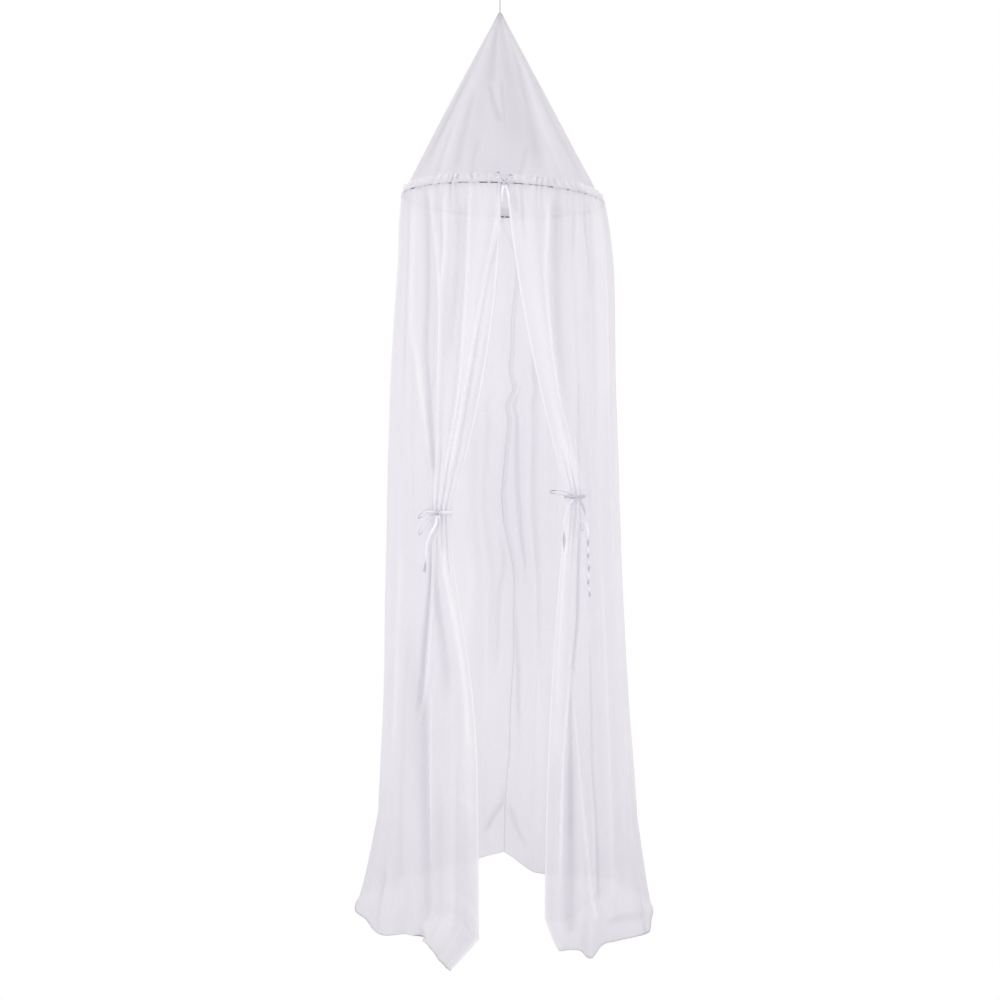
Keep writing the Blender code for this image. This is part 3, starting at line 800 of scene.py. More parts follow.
azimuth = np.linspace(-180.0, 180.0, 361)
share = np.concatenate([np.linspace(0.0, 0.1, 9), np.linspace(0.1, 1.0, 82)[1:]])[:, None]
rim_x = hoop_place(azimuth, HOOP_RADIUS)[0]
swell = np.where((share > 0.0) & (share < 1.0), np.sin(math.pi * share), 0.0)
wave = sum(w.share * np.cos(w.folds * np.radians(azimuth) + w.turn) for w in ROOF_WAVES)
stand = ROOF_FOLD_DEPTH * swell * wave[None]
for trough in ROOF_TROUGHS:
    t = (share - trough.start) / (trough.stop - trough.start)
    middle = trough.from_az + (trough.to_az - trough.from_az) * np.clip(t, 0.0, 1.0)
    gap = (azimuth[None] - middle + 180.0) % 360.0 - 180.0
    depth = trough.depth * smooth(t / TROUGH_FADE) * smooth((1.0 - t) / TROUGH_FADE)
    spread = trough.width * (1.0 + TROUGH_NARROWING - TROUGH_NARROWING * share)
    stand = stand - depth * hump(gap, 0.0, spread)
    stand = stand + RIDGE_SHARE * depth * hump(gap, RIDGE_BESIDE * spread, spread)
tip_gather = TIP_GATHER_DEPTH * hump(share, 0.0, 0.05) * np.cos(TIP_GATHERS * np.radians(azimuth))
radius = TIP_RADIUS + (HOOP_RADIUS - TIP_RADIUS) * share + stand + tip_gather
plan_x, plan_y = hoop_place(azimuth[None], radius)
plan_x = plan_x - HOOP_CENTRE[0] * (1.0 - share)
rim_z = hoop_height(rim_x) + HOOP_WIRE + GAP + CLOTH / 2.0
height = TIP_H + (rim_z[None] - TIP_H) * share
slant = math.hypot(TIP_H - HOOP_H, HOOP_RADIUS)
across = np.radians(azimuth)[None] * HOOP_RADIUS * share
flat = np.stack(np.broadcast_arrays(across, -slant * share), axis=-1)
# Painted shading: troughs darker, ridges lighter, with painted shade at the tip and the front.
fold = ROOF_TONE + stand / ROOF_SHADE + TIP_SHADE * hump(share, 0.0, TIP_REACH)
fold = fold + ROOF_FRONT_SHADE * hump(azimuth, *ROOF_FRONT)[None] * smooth(share / 0.1)
places = np.stack([plan_x, plan_y, height - DROP], axis=-1)
roof = grid_sheet("voile_roof", places, flat, [roof_voile], fold)
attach(roof, "root")
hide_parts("roof")

# ---- curtain panels ----
# Two panels of the same voile. Each is gathered on the hoop below a 25 mm frill, hemmed down
# its front edge and round the bottom, and sewn to the other one at the centre back. The left
# one is tied lower and tighter. Both hems rest on the floor.

# A place on the cloth is u across it, from 0 at the back seam to 1 at the front edge, and s
# down it: -1 at the frill's top, 0 at the hoop, 1 at the tie, 2 low down and 3 at the hem. A
# station says where the cloth at one u is at those levels.
Station = namedtuple("Station", "u hoop_az tie_x tie_y low_x low_y low_h hem_x hem_y hem_h")
# A crease runs down the cloth through places across it (at, a list of s and u). It is a ridge
# where depth is above 0 and a trough where it is below, wide is its half width as a share of
# the panel, and it starts over CREASE_START and ends over a length fade.
Crease = namedtuple("Crease", "wide depth fade at")
CREASE_START = (-0.045, 0.15)
# A cross crease runs across the cloth from one place (u, s) to another. The straight ones are
# left from the way the net was folded in its packet.
CrossCrease = namedtuple("CrossCrease", "start stop wide depth")
CROSS_END = (-0.04, 0.20)
Panel = namedtuple(
    "Panel",
    "name side tie stations folds tie_h lean release bundle_from bundle_depth reach swell"
    " creases cross_creases back_reach side_light pale_from",
)


def crease(wide, depth, fade, *at):
    return Crease(wide, depth, fade, at)


LEFT_CREASES = (
    # Above the tie, from the side to the front edge.
    crease(0.007, 0.003, 0.3, (0.02, 0.56), (0.35, 0.548), (0.85, 0.556)),
    crease(0.01, -0.004, 0.3, (0.01, 0.64), (0.3, 0.632), (0.75, 0.64)),
    crease(0.013, 0.006, 0.1, (0.02, 0.682), (0.31, 0.674), (0.45, 0.68), (0.56, 0.702),
            (0.76, 0.74), (0.87, 0.762)),
    crease(0.013, -0.009, 0.1, (0.01, 0.734), (0.14, 0.742), (0.32, 0.744), (0.5, 0.734),
            (0.65, 0.748), (0.78, 0.762), (0.92, 0.79)),
    crease(0.0075, 0.008, 0.1, (0.01, 0.758), (0.1, 0.772), (0.26, 0.792), (0.37, 0.806),
            (0.7, 0.808), (0.9, 0.824)),
    crease(0.005, -0.004, 0.1, (0.02, 0.79), (0.18, 0.806), (0.28, 0.806)),
    crease(0.0075, 0.0075, 0.1, (0.01, 0.815), (0.18, 0.822), (0.35, 0.81)),
    crease(0.014, -0.006, 0.35, (0.01, 0.858), (0.21, 0.862), (0.45, 0.85), (0.65, 0.85)),
    crease(0.0065, 0.009, 0.1, (0.01, 0.898), (0.51, 0.897), (0.65, 0.9), (0.78, 0.89),
            (0.92, 0.878)),
    crease(0.0065, 0.0075, 0.1, (0.03, 0.994), (0.16, 0.982), (0.25, 0.966), (0.34, 0.954),
            (0.46, 0.94), (0.6, 0.93), (0.92, 0.916)),
    crease(0.0035, -0.001, 0.1, (0.15, 0.991), (0.3, 0.97), (0.41, 0.956), (0.51, 0.946),
            (0.66, 0.94), (0.85, 0.932)),
    crease(0.012, 0.003, 0.2, (0.25, 0.985), (0.5, 0.972), (0.75, 0.962)),
    crease(0.024, 0.0028, 0.1, (0.03, 0.945), (0.35, 0.925), (0.92, 0.9)),
    crease(0.02, 0.002, 0.2, (0.5, 0.845), (0.75, 0.85), (0.97, 0.855)),
    # Below the tie: the pinched fold, the dark folds and the light band of the front edge.
    crease(0.01, -0.011, 0.06, (1.05, 0.758), (1.2, 0.76), (1.34, 0.758), (1.44, 0.754),
            (1.54, 0.74)),
    crease(0.006, 0.0085, 0.04, (1.2, 0.804), (1.27, 0.802), (1.41, 0.79), (1.49, 0.77),
            (1.57, 0.742)),
    crease(0.024, -0.004, 0.3, (1.36, 0.725), (1.6, 0.736), (1.84, 0.745)),
    crease(0.019, -0.0075, 0.45, (1.46, 0.772), (1.61, 0.778), (1.75, 0.786), (1.98, 0.796),
            (2.5, 0.794)),
    crease(0.005, 0.0055, 0.2, (1.45, 0.812), (1.74, 0.812), (1.92, 0.81)),
    crease(0.022, 0.0075, 0.06, (1.06, 0.89), (1.15, 0.905), (1.21, 0.93), (1.31, 0.95),
            (1.41, 0.96), (1.58, 0.957)),
    crease(0.021, -0.008, 0.12, (1.12, 0.815), (1.2, 0.824), (1.26, 0.842), (1.32, 0.858),
            (1.4, 0.868), (1.5, 0.868)),
    crease(0.018, -0.003, 0.3, (1.7, 0.842), (1.9, 0.842), (2.3, 0.85)),
    crease(0.036, 0.004, 0.4, (1.5, 0.955), (1.75, 0.952), (1.95, 0.95)),
    crease(0.03, -0.0036, 0.35, (1.72, 0.94), (1.95, 0.935), (2.3, 0.95), (2.6, 0.96)),
    crease(0.01, -0.003, 0.3, (1.6, 0.905), (1.9, 0.9), (2.5, 0.905)),
    crease(0.009, 0.004, 0.3, (1.1, 0.648), (1.54, 0.664), (1.84, 0.654)),
    crease(0.012, -0.003, 0.3, (1.3, 0.7), (1.8, 0.69), (2.4, 0.676)),
    crease(0.01, -0.005, 0.2, (2.2, 0.64), (2.6, 0.646), (2.95, 0.664)),
    crease(0.014, -0.009, 0.1, (2.6, 0.796), (2.9, 0.8), (3.2, 0.8)),
    # The back, seen through the opening.
    crease(0.009, -0.003, 0.3, (0.6, 0.056), (1.2, 0.054), (1.66, 0.058)),
    crease(0.006, -0.004, 0.2, (1.1, 0.02), (1.19, 0.023), (1.3, 0.039), (1.42, 0.041),
            (1.62, 0.046)),
    crease(0.01, 0.0012, 0.3, (0.5, 0.025), (1.2, 0.026), (1.66, 0.036)),
    crease(0.008, -0.007, 0.15, (1.95, 0.002), (2.19, 0.032), (2.47, 0.062)),
    crease(0.012, 0.002, 0.3, (1.2, 0.1), (1.6, 0.13), (2.2, 0.15)),
)
RIGHT_CREASES = (
    # Above the tie, from the side to the front edge.
    crease(0.008, 0.0032, 0.3, (0.01, 0.655), (0.21, 0.648), (0.45, 0.65)),
    crease(0.008, 0.0035, 0.3, (0.02, 0.63), (0.3, 0.622), (0.8, 0.628)),
    crease(0.01, -0.0045, 0.3, (0.02, 0.7), (0.35, 0.69), (0.9, 0.696)),
    crease(0.008, -0.0055, 0.2, (0.01, 0.728), (0.11, 0.724), (0.22, 0.71), (0.45, 0.708)),
    crease(0.015, 0.0025, 0.3, (0.02, 0.76), (0.4, 0.76), (0.85, 0.752)),
    crease(0.019, -0.0065, 0.35, (0.01, 0.836), (0.12, 0.844), (0.27, 0.856), (0.6, 0.866),
            (0.8, 0.85)),
    crease(0.011, -0.005, 0.2, (0.6, 0.778), (0.75, 0.79), (0.86, 0.806), (0.98, 0.815)),
    crease(0.006, -0.004, 0.2, (0.03, 0.772), (0.16, 0.78), (0.3, 0.792)),
    crease(0.008, -0.006, 0.2, (0.01, 0.954), (0.12, 0.957), (0.25, 0.962)),
    crease(0.005, 0.006, 0.2, (0.09, 0.828), (0.16, 0.834), (0.24, 0.843)),
    crease(0.007, 0.006, 0.1, (0.02, 0.864), (0.13, 0.878), (0.27, 0.894), (0.56, 0.902),
            (0.71, 0.896), (0.86, 0.856), (0.97, 0.846)),
    crease(0.03, 0.0045, 0.1, (0.03, 0.945), (0.4, 0.945), (0.75, 0.93), (0.96, 0.88)),
    # Below the tie: the light front edge, the dark folds and the ridges between them.
    crease(0.026, 0.005, 0.2, (1.04, 0.96), (1.18, 0.96), (1.38, 0.952), (1.7, 0.948)),
    crease(0.01, -0.0072, 0.08, (1.02, 0.836), (1.2, 0.842), (1.28, 0.844), (1.38, 0.866),
            (1.47, 0.886)),
    crease(0.006, 0.0075, 0.15, (1.4, 0.884), (1.58, 0.908), (1.69, 0.914), (1.95, 0.918)),
    crease(0.008, -0.006, 0.15, (1.44, 0.886), (1.58, 0.88), (1.7, 0.876), (1.9, 0.876)),
    crease(0.02, -0.009, 0.25, (1.6, 0.876), (1.95, 0.874), (2.45, 0.874)),
    crease(0.006, 0.0065, 0.2, (1.5, 0.862), (1.66, 0.838), (1.8, 0.816), (1.97, 0.792),
            (2.5, 0.756)),
    crease(0.006, -0.0055, 0.2, (1.36, 0.774), (1.66, 0.778), (1.83, 0.762), (2.25, 0.752)),
    crease(0.012, 0.003, 0.3, (1.2, 0.7), (1.7, 0.706), (2.4, 0.7)),
    crease(0.007, -0.005, 0.1, (2.45, 0.63), (2.75, 0.645), (3.0, 0.662)),
    # The back, seen through the opening.
    crease(0.005, -0.0055, 0.3, (0.06, 0.006), (0.5, 0.008), (1.0, 0.006), (1.4, 0.008)),
    crease(0.006, -0.007, 0.2, (0.62, 0.022), (0.75, 0.03), (0.88, 0.038), (0.98, 0.047),
            (1.07, 0.052), (1.2, 0.044), (1.35, 0.036)),
    crease(0.0055, -0.006, 0.2, (1.28, -0.004), (1.42, 0.006), (1.6, 0.018), (1.85, 0.034)),
    crease(0.01, -0.0045, 0.3, (0.4, 0.098), (1.21, 0.1), (1.63, 0.106)),
    crease(0.01, 0.0016, 0.3, (0.8, 0.082), (1.4, 0.078), (2.2, 0.06)),
    crease(0.01, -0.005, 0.2, (2.0, 0.01), (2.3, 0.04), (2.6, 0.08)),
)
# Folds are pairs of u and strength, and the swell of a panel's side is pairs of s and depth.
LEFT = Panel(
    name="curtain_left",
    side=-1,
    tie="left_tie_band",
    stations=(
        Station(0.00, -180.0, 0.008, 0.298, 0.008, 0.318, 0.20, 0.010, 0.330, 0.048),
        Station(0.13, -155.0, -0.118, 0.272, -0.125, 0.292, 0.20, -0.112, 0.322, 0.016),
        Station(0.28, -128.0, -0.232, 0.186, -0.252, 0.200, 0.25, -0.286, 0.222, 0.000),
        Station(0.42, -103.0, -0.289, 0.066, -0.316, 0.070, 0.25, -0.372, 0.088, 0.000),
        Station(0.52, -86.0, -0.291, -0.030, -0.318, -0.035, 0.25, -0.386, -0.030, 0.000),
        Station(0.61, -70.0, -0.263, -0.124, -0.294, -0.130, 0.22, -0.350, -0.120, 0.000),
        Station(0.68, -57.0, -0.220, -0.192, -0.258, -0.200, 0.16, -0.298, -0.238, 0.000),
        Station(0.74, -46.0, -0.179, -0.226, -0.214, -0.236, 0.10, -0.236, -0.232, 0.000),
        Station(0.84, -28.0, -0.157, -0.233, -0.152, -0.272, 0.07, -0.184, -0.300, 0.000),
        Station(0.92, -14.0, -0.139, -0.238, -0.094, -0.292, 0.05, -0.146, -0.415, 0.000),
        Station(1.00, -1.0, -0.1225, -0.242, -0.053, -0.302, 0.014, -0.118, -0.484, 0.000),
    ),
    folds=(
        (0.06, 0.6), (0.165, 1.0), (0.255, 0.6), (0.36, 0.9), (0.455, 0.6), (0.56, 0.9),
        (0.655, 0.7), (0.752, 0.5), (0.808, 0.7), (0.868, 0.3), (0.918, 0.3), (0.966, 0.3),
    ),
    tie_h=1.070,
    lean=2.0,
    release=(2.0, 8.0),
    bundle_from=0.74,
    bundle_depth=0.016,
    reach=(0.18, 0.13),
    swell=(
        (0.0, 0.0), (0.13, -0.005), (0.2, -0.007), (0.32, -0.003), (0.55, 0.005), (0.78, 0.008),
        (1.0, 0.005), (1.3, 0.003), (1.6, -0.001), (2.0, 0.003), (3.0, 0.002),
    ),
    creases=LEFT_CREASES,
    cross_creases=(
        CrossCrease((0.860, 1.950), (1.010, 1.950), 0.010, 0.0024),
        CrossCrease((0.900, 1.700), (1.010, 1.700), 0.010, 0.0016),
        CrossCrease((0.770, 2.950), (0.815, 2.980), 0.060, -0.0120),
    ),
    back_reach=0.075,
    side_light=(0.48, 0.08),
    pale_from=0.78,
)
RIGHT = Panel(
    name="curtain_right",
    side=1,
    tie="right_tie_band",
    stations=(
        Station(0.00, 180.0, 0.008, 0.298, 0.008, 0.318, 0.20, 0.010, 0.330, 0.048),
        Station(0.10, 162.0, 0.100, 0.280, 0.108, 0.294, 0.15, 0.090, 0.286, 0.004),
        Station(0.17, 149.5, 0.158, 0.252, 0.172, 0.262, 0.15, 0.142, 0.264, 0.000),
        Station(0.30, 126.0, 0.250, 0.178, 0.278, 0.188, 0.22, 0.296, 0.232, 0.000),
        Station(0.43, 103.0, 0.298, 0.062, 0.340, 0.066, 0.25, 0.382, 0.090, 0.000),
        Station(0.53, 85.0, 0.302, -0.040, 0.346, -0.035, 0.25, 0.398, -0.020, 0.000),
        Station(0.63, 67.0, 0.280, -0.132, 0.326, -0.130, 0.22, 0.381, -0.178, 0.000),
        Station(0.66, 61.8, 0.268, -0.157, 0.312, -0.157, 0.20, 0.368, -0.226, 0.000),
        Station(0.72, 51.0, 0.236, -0.198, 0.272, -0.208, 0.14, 0.290, -0.280, 0.000),
        Station(0.745, 46.4, 0.225, -0.210, 0.255, -0.223, 0.12, 0.256, -0.303, 0.000),
        Station(0.78, 40.0, 0.212, -0.224, 0.234, -0.240, 0.10, 0.221, -0.400, 0.000),
        Station(0.82, 32.9, 0.202, -0.229, 0.209, -0.255, 0.08, 0.198, -0.354, 0.000),
        Station(0.86, 26.0, 0.194, -0.232, 0.186, -0.266, 0.06, 0.181, -0.344, 0.000),
        Station(0.93, 14.0, 0.180, -0.238, 0.142, -0.280, 0.05, 0.161, -0.348, 0.000),
        Station(1.00, 2.0, 0.167, -0.242, 0.112, -0.286, 0.06, 0.1443, -0.3543, 0.000),
    ),
    folds=(
        (0.055, 0.7), (0.14, 0.9), (0.24, 0.7), (0.34, 1.0), (0.45, 0.6), (0.545, 0.9),
        (0.65, 0.6), (0.735, 0.6), (0.79, 0.4), (0.875, 0.4), (0.92, 0.2), (0.962, 0.2),
    ),
    tie_h=1.110,
    lean=1.44,
    release=(1.0, 2.0),
    bundle_from=0.78,
    bundle_depth=0.016,
    reach=(0.11, 0.13),
    swell=(
        (0.0, 0.0), (0.13, 0.008), (0.25, 0.0125), (0.45, 0.011), (0.6, 0.009), (1.0, 0.0095),
        (1.3, 0.0055), (1.65, 0.0055), (1.85, 0.01), (2.0, 0.0125), (2.4, 0.012), (3.0, 0.009),
    ),
    creases=RIGHT_CREASES,
    cross_creases=(CrossCrease((0.600, 2.810), (0.736, 2.550), 0.050, -0.0050),),
    back_reach=0.17,
    side_light=(0.66, 0.05),
    pale_from=1.10,
)
# The depth of the main folds, in pairs of s and depth.
FOLD_DEPTHS = (
    (-1.0, 0.004), (-0.45, 0.003), (0.0, 0.003), (0.035, 0.0055), (0.11, 0.0095), (0.26, 0.0115),
    (0.45, 0.011), (0.65, 0.0105), (0.82, 0.01), (0.93, 0.01), (0.988, 0.01), (1.012, 0.01),
    (1.075, 0.01), (1.2, 0.01), (1.45, 0.0105), (1.75, 0.0105), (2.0, 0.0095), (2.4, 0.0075),
    (2.75, 0.005), (3.0, 0.003),
)
PANEL_WIDTH = 1.15
HEADING = 0.025
HEADING_TAPER = 0.46
HOOP_SEAT = 0.0004
FLOOR_GAP = 0.0010
TIE_HOLD = 0.012
PLEAT = 3.0
PLEAT_SHARE = 0.65
BUNDLE_LEAD = 0.14
BUNDLE_EDGE = 0.05
FREE_EDGE = 0.02
HEM_SPREAD = 1.4
HEM_FOLD = 0.008
HEM_TURN = 0.05
HEM_GAP = 0.0009
SIDE_MIDDLE = 0.50
SIDE_SPREAD = 0.17

# The hoop shows bare between these azimuths, where the cloth goes inside it. The last number
# is how much of the wire's thickness shows.
Bare = namedtuple("Bare", "start stop share")
BARE_HOOP = (
    Bare(-47.6, -41.2, 0.24), Bare(-37.4, -36.0, 0.42), Bare(-30.7, -28.6, 0.55),
    Bare(-24.8, -22.6, 0.42), Bare(-22.6, -18.1, 0.22), Bare(-12.7, -8.6, 0.62),
    Bare(-6.6, -3.0, 0.58), Bare(5.6, 10.8, 0.34), Bare(13.8, 26.0, 0.24), Bare(26.0, 27.8, 0.62),
    Bare(36.8, 38.2, 0.55), Bare(45.0, 48.6, 0.2), Bare(50.4, 52.2, 0.36), Bare(60.0, 63.5, 0.22),
    Bare(70.0, 73.0, 0.3), Bare(147.8, 152.8, 0.9), Bare(165.0, 173.6, 0.8),
    Bare(178.0, 179.2, 1.0), Bare(182.0, 187.5, 0.9), Bare(194.0, 203.0, 0.9),
    Bare(209.0, 215.0, 0.9),
)
BARE_END = (-0.4, 0.8)
BARE_SEED = 5
FRONT_AZIMUTHS = (-52.0, 82.0)
BACK_AZIMUTHS = (139.0, 222.0)
THREADING = 0.0075
OUTSIDE_WIRE = 0.0010
INSIDE_WIRE = 0.0030
SLOT_LEAST = 0.0001
SLOT_MORE = 0.0021
# Gathers crowd and stand out round these azimuths. Each kind has its number round a panel, its
# depth, how far down the cloth it fades, and its seed.
Crowd = namedtuple("Crowd", "azimuth spread share")
CROWDS = (
    Crowd(-41.0, 4.0, 0.4), Crowd(-29.0, 5.5, 0.9), Crowd(-17.0, 4.0, 0.6), Crowd(0.5, 6.0, 0.8),
    Crowd(21.0, 5.0, 0.5), Crowd(34.0, 5.0, 0.7), Crowd(49.0, 5.0, 0.6), Crowd(66.0, 8.0, 0.7),
    Crowd(-68.0, 9.0, 0.5),
)
CROWD_LEAST = 0.40
CROWD_MOST = 1.25
Gather = namedtuple("Gather", "count depth fade seed")
BROAD_GATHER = Gather(38, 0.0034, 0.055, 11)
FINE_GATHER = Gather(88, 0.0022, 0.022, 71)
FRILL_FLARE = 0.9
# Small folds run down the cloth between the creases: their depth, how many cross the panel
# and go down it, and their seed.
Small = namedtuple("Small", "depth across down seed")
SMALL_FOLDS = (Small(0.0004, 34.0, 0.5, 21), Small(0.0016, 15.0, 0.35, 31))
SMALL_NEAR_HEM = (2.5, 0.5)
TIE_PULL = 0.60
# The seam: how far it wanders to the right of the straight line, in pairs of height and
# distance, and over what share of a panel the cloth follows it.
SEAM_WANDER = (
    (0.03, 0.0), (0.15, 0.006), (0.473, 0.024), (0.746, 0.033), (0.864, 0.031), (0.928, 0.021),
    (1.019, 0.004), (1.11, -0.003), (1.204, 0.005), (1.315, 0.017), (1.354, 0.009), (1.401, 0.028),
    (1.456, 0.017), (1.519, 0.024), (1.614, 0.027), (1.732, 0.037), (1.795, 0.033), (1.85, 0.015),
    (1.897, 0.0),
)
SEAM_PULL = 0.16
SEAM_LAP = 0.0016
SEAM_STEP = 0.0006
SEAM_PUCKER = 0.0008
SEAM_NEAR = 0.020
SEAM_WAVER = 0.0015
PUCKER_SPACING = 0.037

# What each thing adds to the cloth's painted shading, which is 0 for a lavender trough and 1
# for a white ridge. Creases and gathers give it by their depth, as painted shade in troughs and
# painted highlight on ridges. All from FRILL_TONE on are painted light and shade set by place,
# so they stay where they are under any light.
PLAIN_TONE = 0.47
CREASE_TONE = 0.48
CREASE_SHADE = 0.0075
GATHER_TONE = 0.30
GATHER_SHADE = 0.009
FRONT_HEM_TONE = 0.50
FRILL_TONE = 0.26
FRILL_RISE = 0.15
FRILL_EDGE_SHADE = -0.50
RAW_EDGE = (-1.0, 0.22)
RAW_EDGE_FRONT = (3.0, 31.0)
TIE_LAYERS_LIGHT = 0.24
LAYERS = (1.0, 0.16)
PUCKER_SHADE = -0.7
PUCKERS = (1.0, 0.030)
PUCKER_NOISE = (26.0, 0.06)
PUCKER_SEED = 61
LOW_SHADE = -0.02
LOW_BACK_SHADE = -0.13
NEAR_FLOOR = (1.45, 0.80)
LEAVING_BACK = (0.10, 0.20)
BACK_SHADE = -0.30
BACK_MIDDLE = (1.08, 0.50)
HEM_SHADE = -0.11
NEAR_HEM = (1.78, 0.25)
HEM_ACROSS = (0.25, 0.10)
PALE_OVER = 0.06
SIDE_HIGHLIGHT = 0.22
SIDE_FADE = (0.55, 0.40)


def curve(pairs, x):
    """The values at x of a smooth curve through pairs of place and value."""
    places, values = np.array(pairs).T
    return through(places, values, x)


def station_value(panel, field, u):
    return curve([(row.u, getattr(row, field)) for row in panel.stations], u)


# From here on u is one row and s one column, so that every result covers the whole sheet.
def lie(panel, u, s):
    """The plan and height of the cloth's base surface."""
    value = {f: station_value(panel, f, u) for f in Station._fields[1:]}
    in_bundle = rise(u, panel.bundle_from - BUNDLE_LEAD, BUNDLE_LEAD)
    radius = HOOP_RADIUS + HOOP_WIRE + GAP + CLOTH / 2.0 + HOOP_SEAT
    up = np.maximum(-s, 0.0) * HEADING
    top_x, top_y = hoop_place(value["hoop_az"], radius - HEADING_TAPER * up)
    top_h = hoop_height(top_x) + up
    t = np.clip(s / (1.0 - TIE_HOLD), 0.0, 1.0)
    t = t ** (1.0 + (panel.lean - 1.0) * in_bundle)
    fall_x = top_x + (value["tie_x"] - top_x) * t
    fall_y = top_y + (value["tie_y"] - top_y) * t
    fall_h = top_h + (panel.tie_h - top_h) * np.clip(s, 0.0, 1.0)
    t = np.clip((s - 1.0 - TIE_HOLD) / (1.0 - TIE_HOLD), 0.0, 1.0)
    early = 1.0 + (panel.release[0] - 1.0) * in_bundle
    late = 1.0 + (panel.release[1] - 1.0) * in_bundle
    moved = 1.0 - (1.0 - t**early) ** late
    lower = np.clip(s - 1.0, 0.0, 1.0)
    w = np.clip(s - 2.0, 0.0, 1.0)
    rest = CLOTH / 2.0 + FLOOR_GAP + value["hem_h"]
    x = fall_x + (value["low_x"] - value["tie_x"]) * moved
    y = fall_y + (value["low_y"] - value["tie_y"]) * moved
    x = x + (value["hem_x"] - value["low_x"]) * w
    y = y + (value["hem_y"] - value["low_y"]) * w
    h = fall_h + (value["low_h"] - panel.tie_h) * lower
    h = np.where(s > 2.0, rest + (value["low_h"] - rest) * (1.0 - w) ** HEM_SPREAD, h)
    return x, y, h


def fold_offset(panel, u, s, edge):
    """How far the main folds carry the cloth outwards from the base surface."""
    knots = [0.0, *(place for place, _ in panel.folds), 1.0]
    phases = [-0.5, *range(len(panel.folds)), len(panel.folds) - 0.5]
    wave = np.cos(math.tau * np.interp(u, knots, phases))
    held = hump(s, 1.0, np.where(s < 1.0, *panel.reach))
    near = rise(u, panel.bundle_from - BUNDLE_EDGE, BUNDLE_EDGE)
    strength = curve(panel.folds, np.clip(u, knots[1], knots[-2]))
    eased = 1.0 - 0.6 * near * hump(s, 1.2, 0.35)
    loose = curve(FOLD_DEPTHS, s) * strength * (1.0 + wave) / 2.0 * (1.0 - held * near) * eased
    place = (u - panel.bundle_from) / (1.0 - panel.bundle_from) * 2.0 - 1.0
    swing = np.sqrt(np.clip(1.0 - place * place, 0.0, 1.0)) * (place > -1.0)
    pleat = 1.0 - PLEAT_SHARE * ((1.0 - wave) / 2.0) ** PLEAT
    swell = curve(panel.swell, s) * (s > 0.0) * hump(u, SIDE_MIDDLE, SIDE_SPREAD)
    return loose * edge + panel.bundle_depth * swing * held * pleat + swell


def crease_offset(panel, u, s):
    """How far the creases, long and cross, carry the cloth outwards."""
    total = 0.0
    for line in panel.creases:
        top, bottom = line.at[0][0], line.at[-1][0]
        middle = curve(line.at, np.clip(s, top, bottom))
        lasting = rise(s - top, *CREASE_START) * rise(bottom - s, 0.0, line.fade)
        total = total + line.depth * lasting * hump(u, middle, line.wide)
    total = total * rise(u, 0.0, 0.012)
    for line in panel.cross_creases:
        (from_u, from_s), (to_u, to_s) = line.start, line.stop
        t = (u - from_u) / (to_u - from_u)
        middle = from_s + (to_s - from_s) * np.clip(t, 0.0, 1.0)
        lasting = rise(t, *CROSS_END) * rise(1.0 - t, *CROSS_END)
        total = total + line.depth * lasting * hump(s, middle, line.wide)
    return total


def soft_noise(seed, u, s, across, down):
    """Soft uneven values from -1 to 1, across and down times over the panel."""
    rng = np.random.default_rng(seed)
    total = 0.0
    for k in range(6):
        f = across * rng.uniform(0.6, 1.5)
        g = down * rng.uniform(0.3, 1.4) * rng.choice((-1.0, 1.0))
        p = rng.uniform(0.0, math.tau)
        total = total + np.cos(math.tau * (f * u + g * s) + p)
    return total / 3.5


def bare_share(azimuth):
    """How much of the wire shows at an azimuth, where the cloth goes inside the hoop."""
    spans = list(BARE_HOOP)
    rng = np.random.default_rng(BARE_SEED)
    at = FRONT_AZIMUTHS[1]
    while at < 360.0 + FRONT_AZIMUTHS[0] - 8.0:
        wide = rng.uniform(1.2, 8.0)
        if at + wide < BACK_AZIMUTHS[0] or at > BACK_AZIMUTHS[1]:
            spans.append(Bare(at, at + wide, rng.uniform(0.5, 1.0)))
        at += wide + rng.uniform(2.0, 7.0)
    total = np.zeros_like(azimuth)
    for span in spans:
        for turn in (-360.0, 0.0):
            inside = rise(azimuth - span.start - turn, *BARE_END)
            inside = inside * rise(span.stop + turn - azimuth, *BARE_END)
            total = np.maximum(total, inside * span.share)
    return total


def gather_wave(panel, u, s, kind):
    """The small uneven gathers under and over the hoop, from -1 to 1."""
    rng = np.random.default_rng(kind.seed + panel.side)
    steps = rng.uniform(0.55, 1.5, kind.count)
    knots = np.concatenate([[0.0], np.cumsum(steps)]) / steps.sum()
    height = rng.uniform(0.35, 1.0, kind.count + 1)
    phase = math.tau * np.interp(u, knots, np.arange(kind.count + 1))
    lean = 3.6 * s * np.sin(math.tau * 5.0 * u + 1.3)
    return np.cos(phase + lean) * np.interp(u, knots, height)


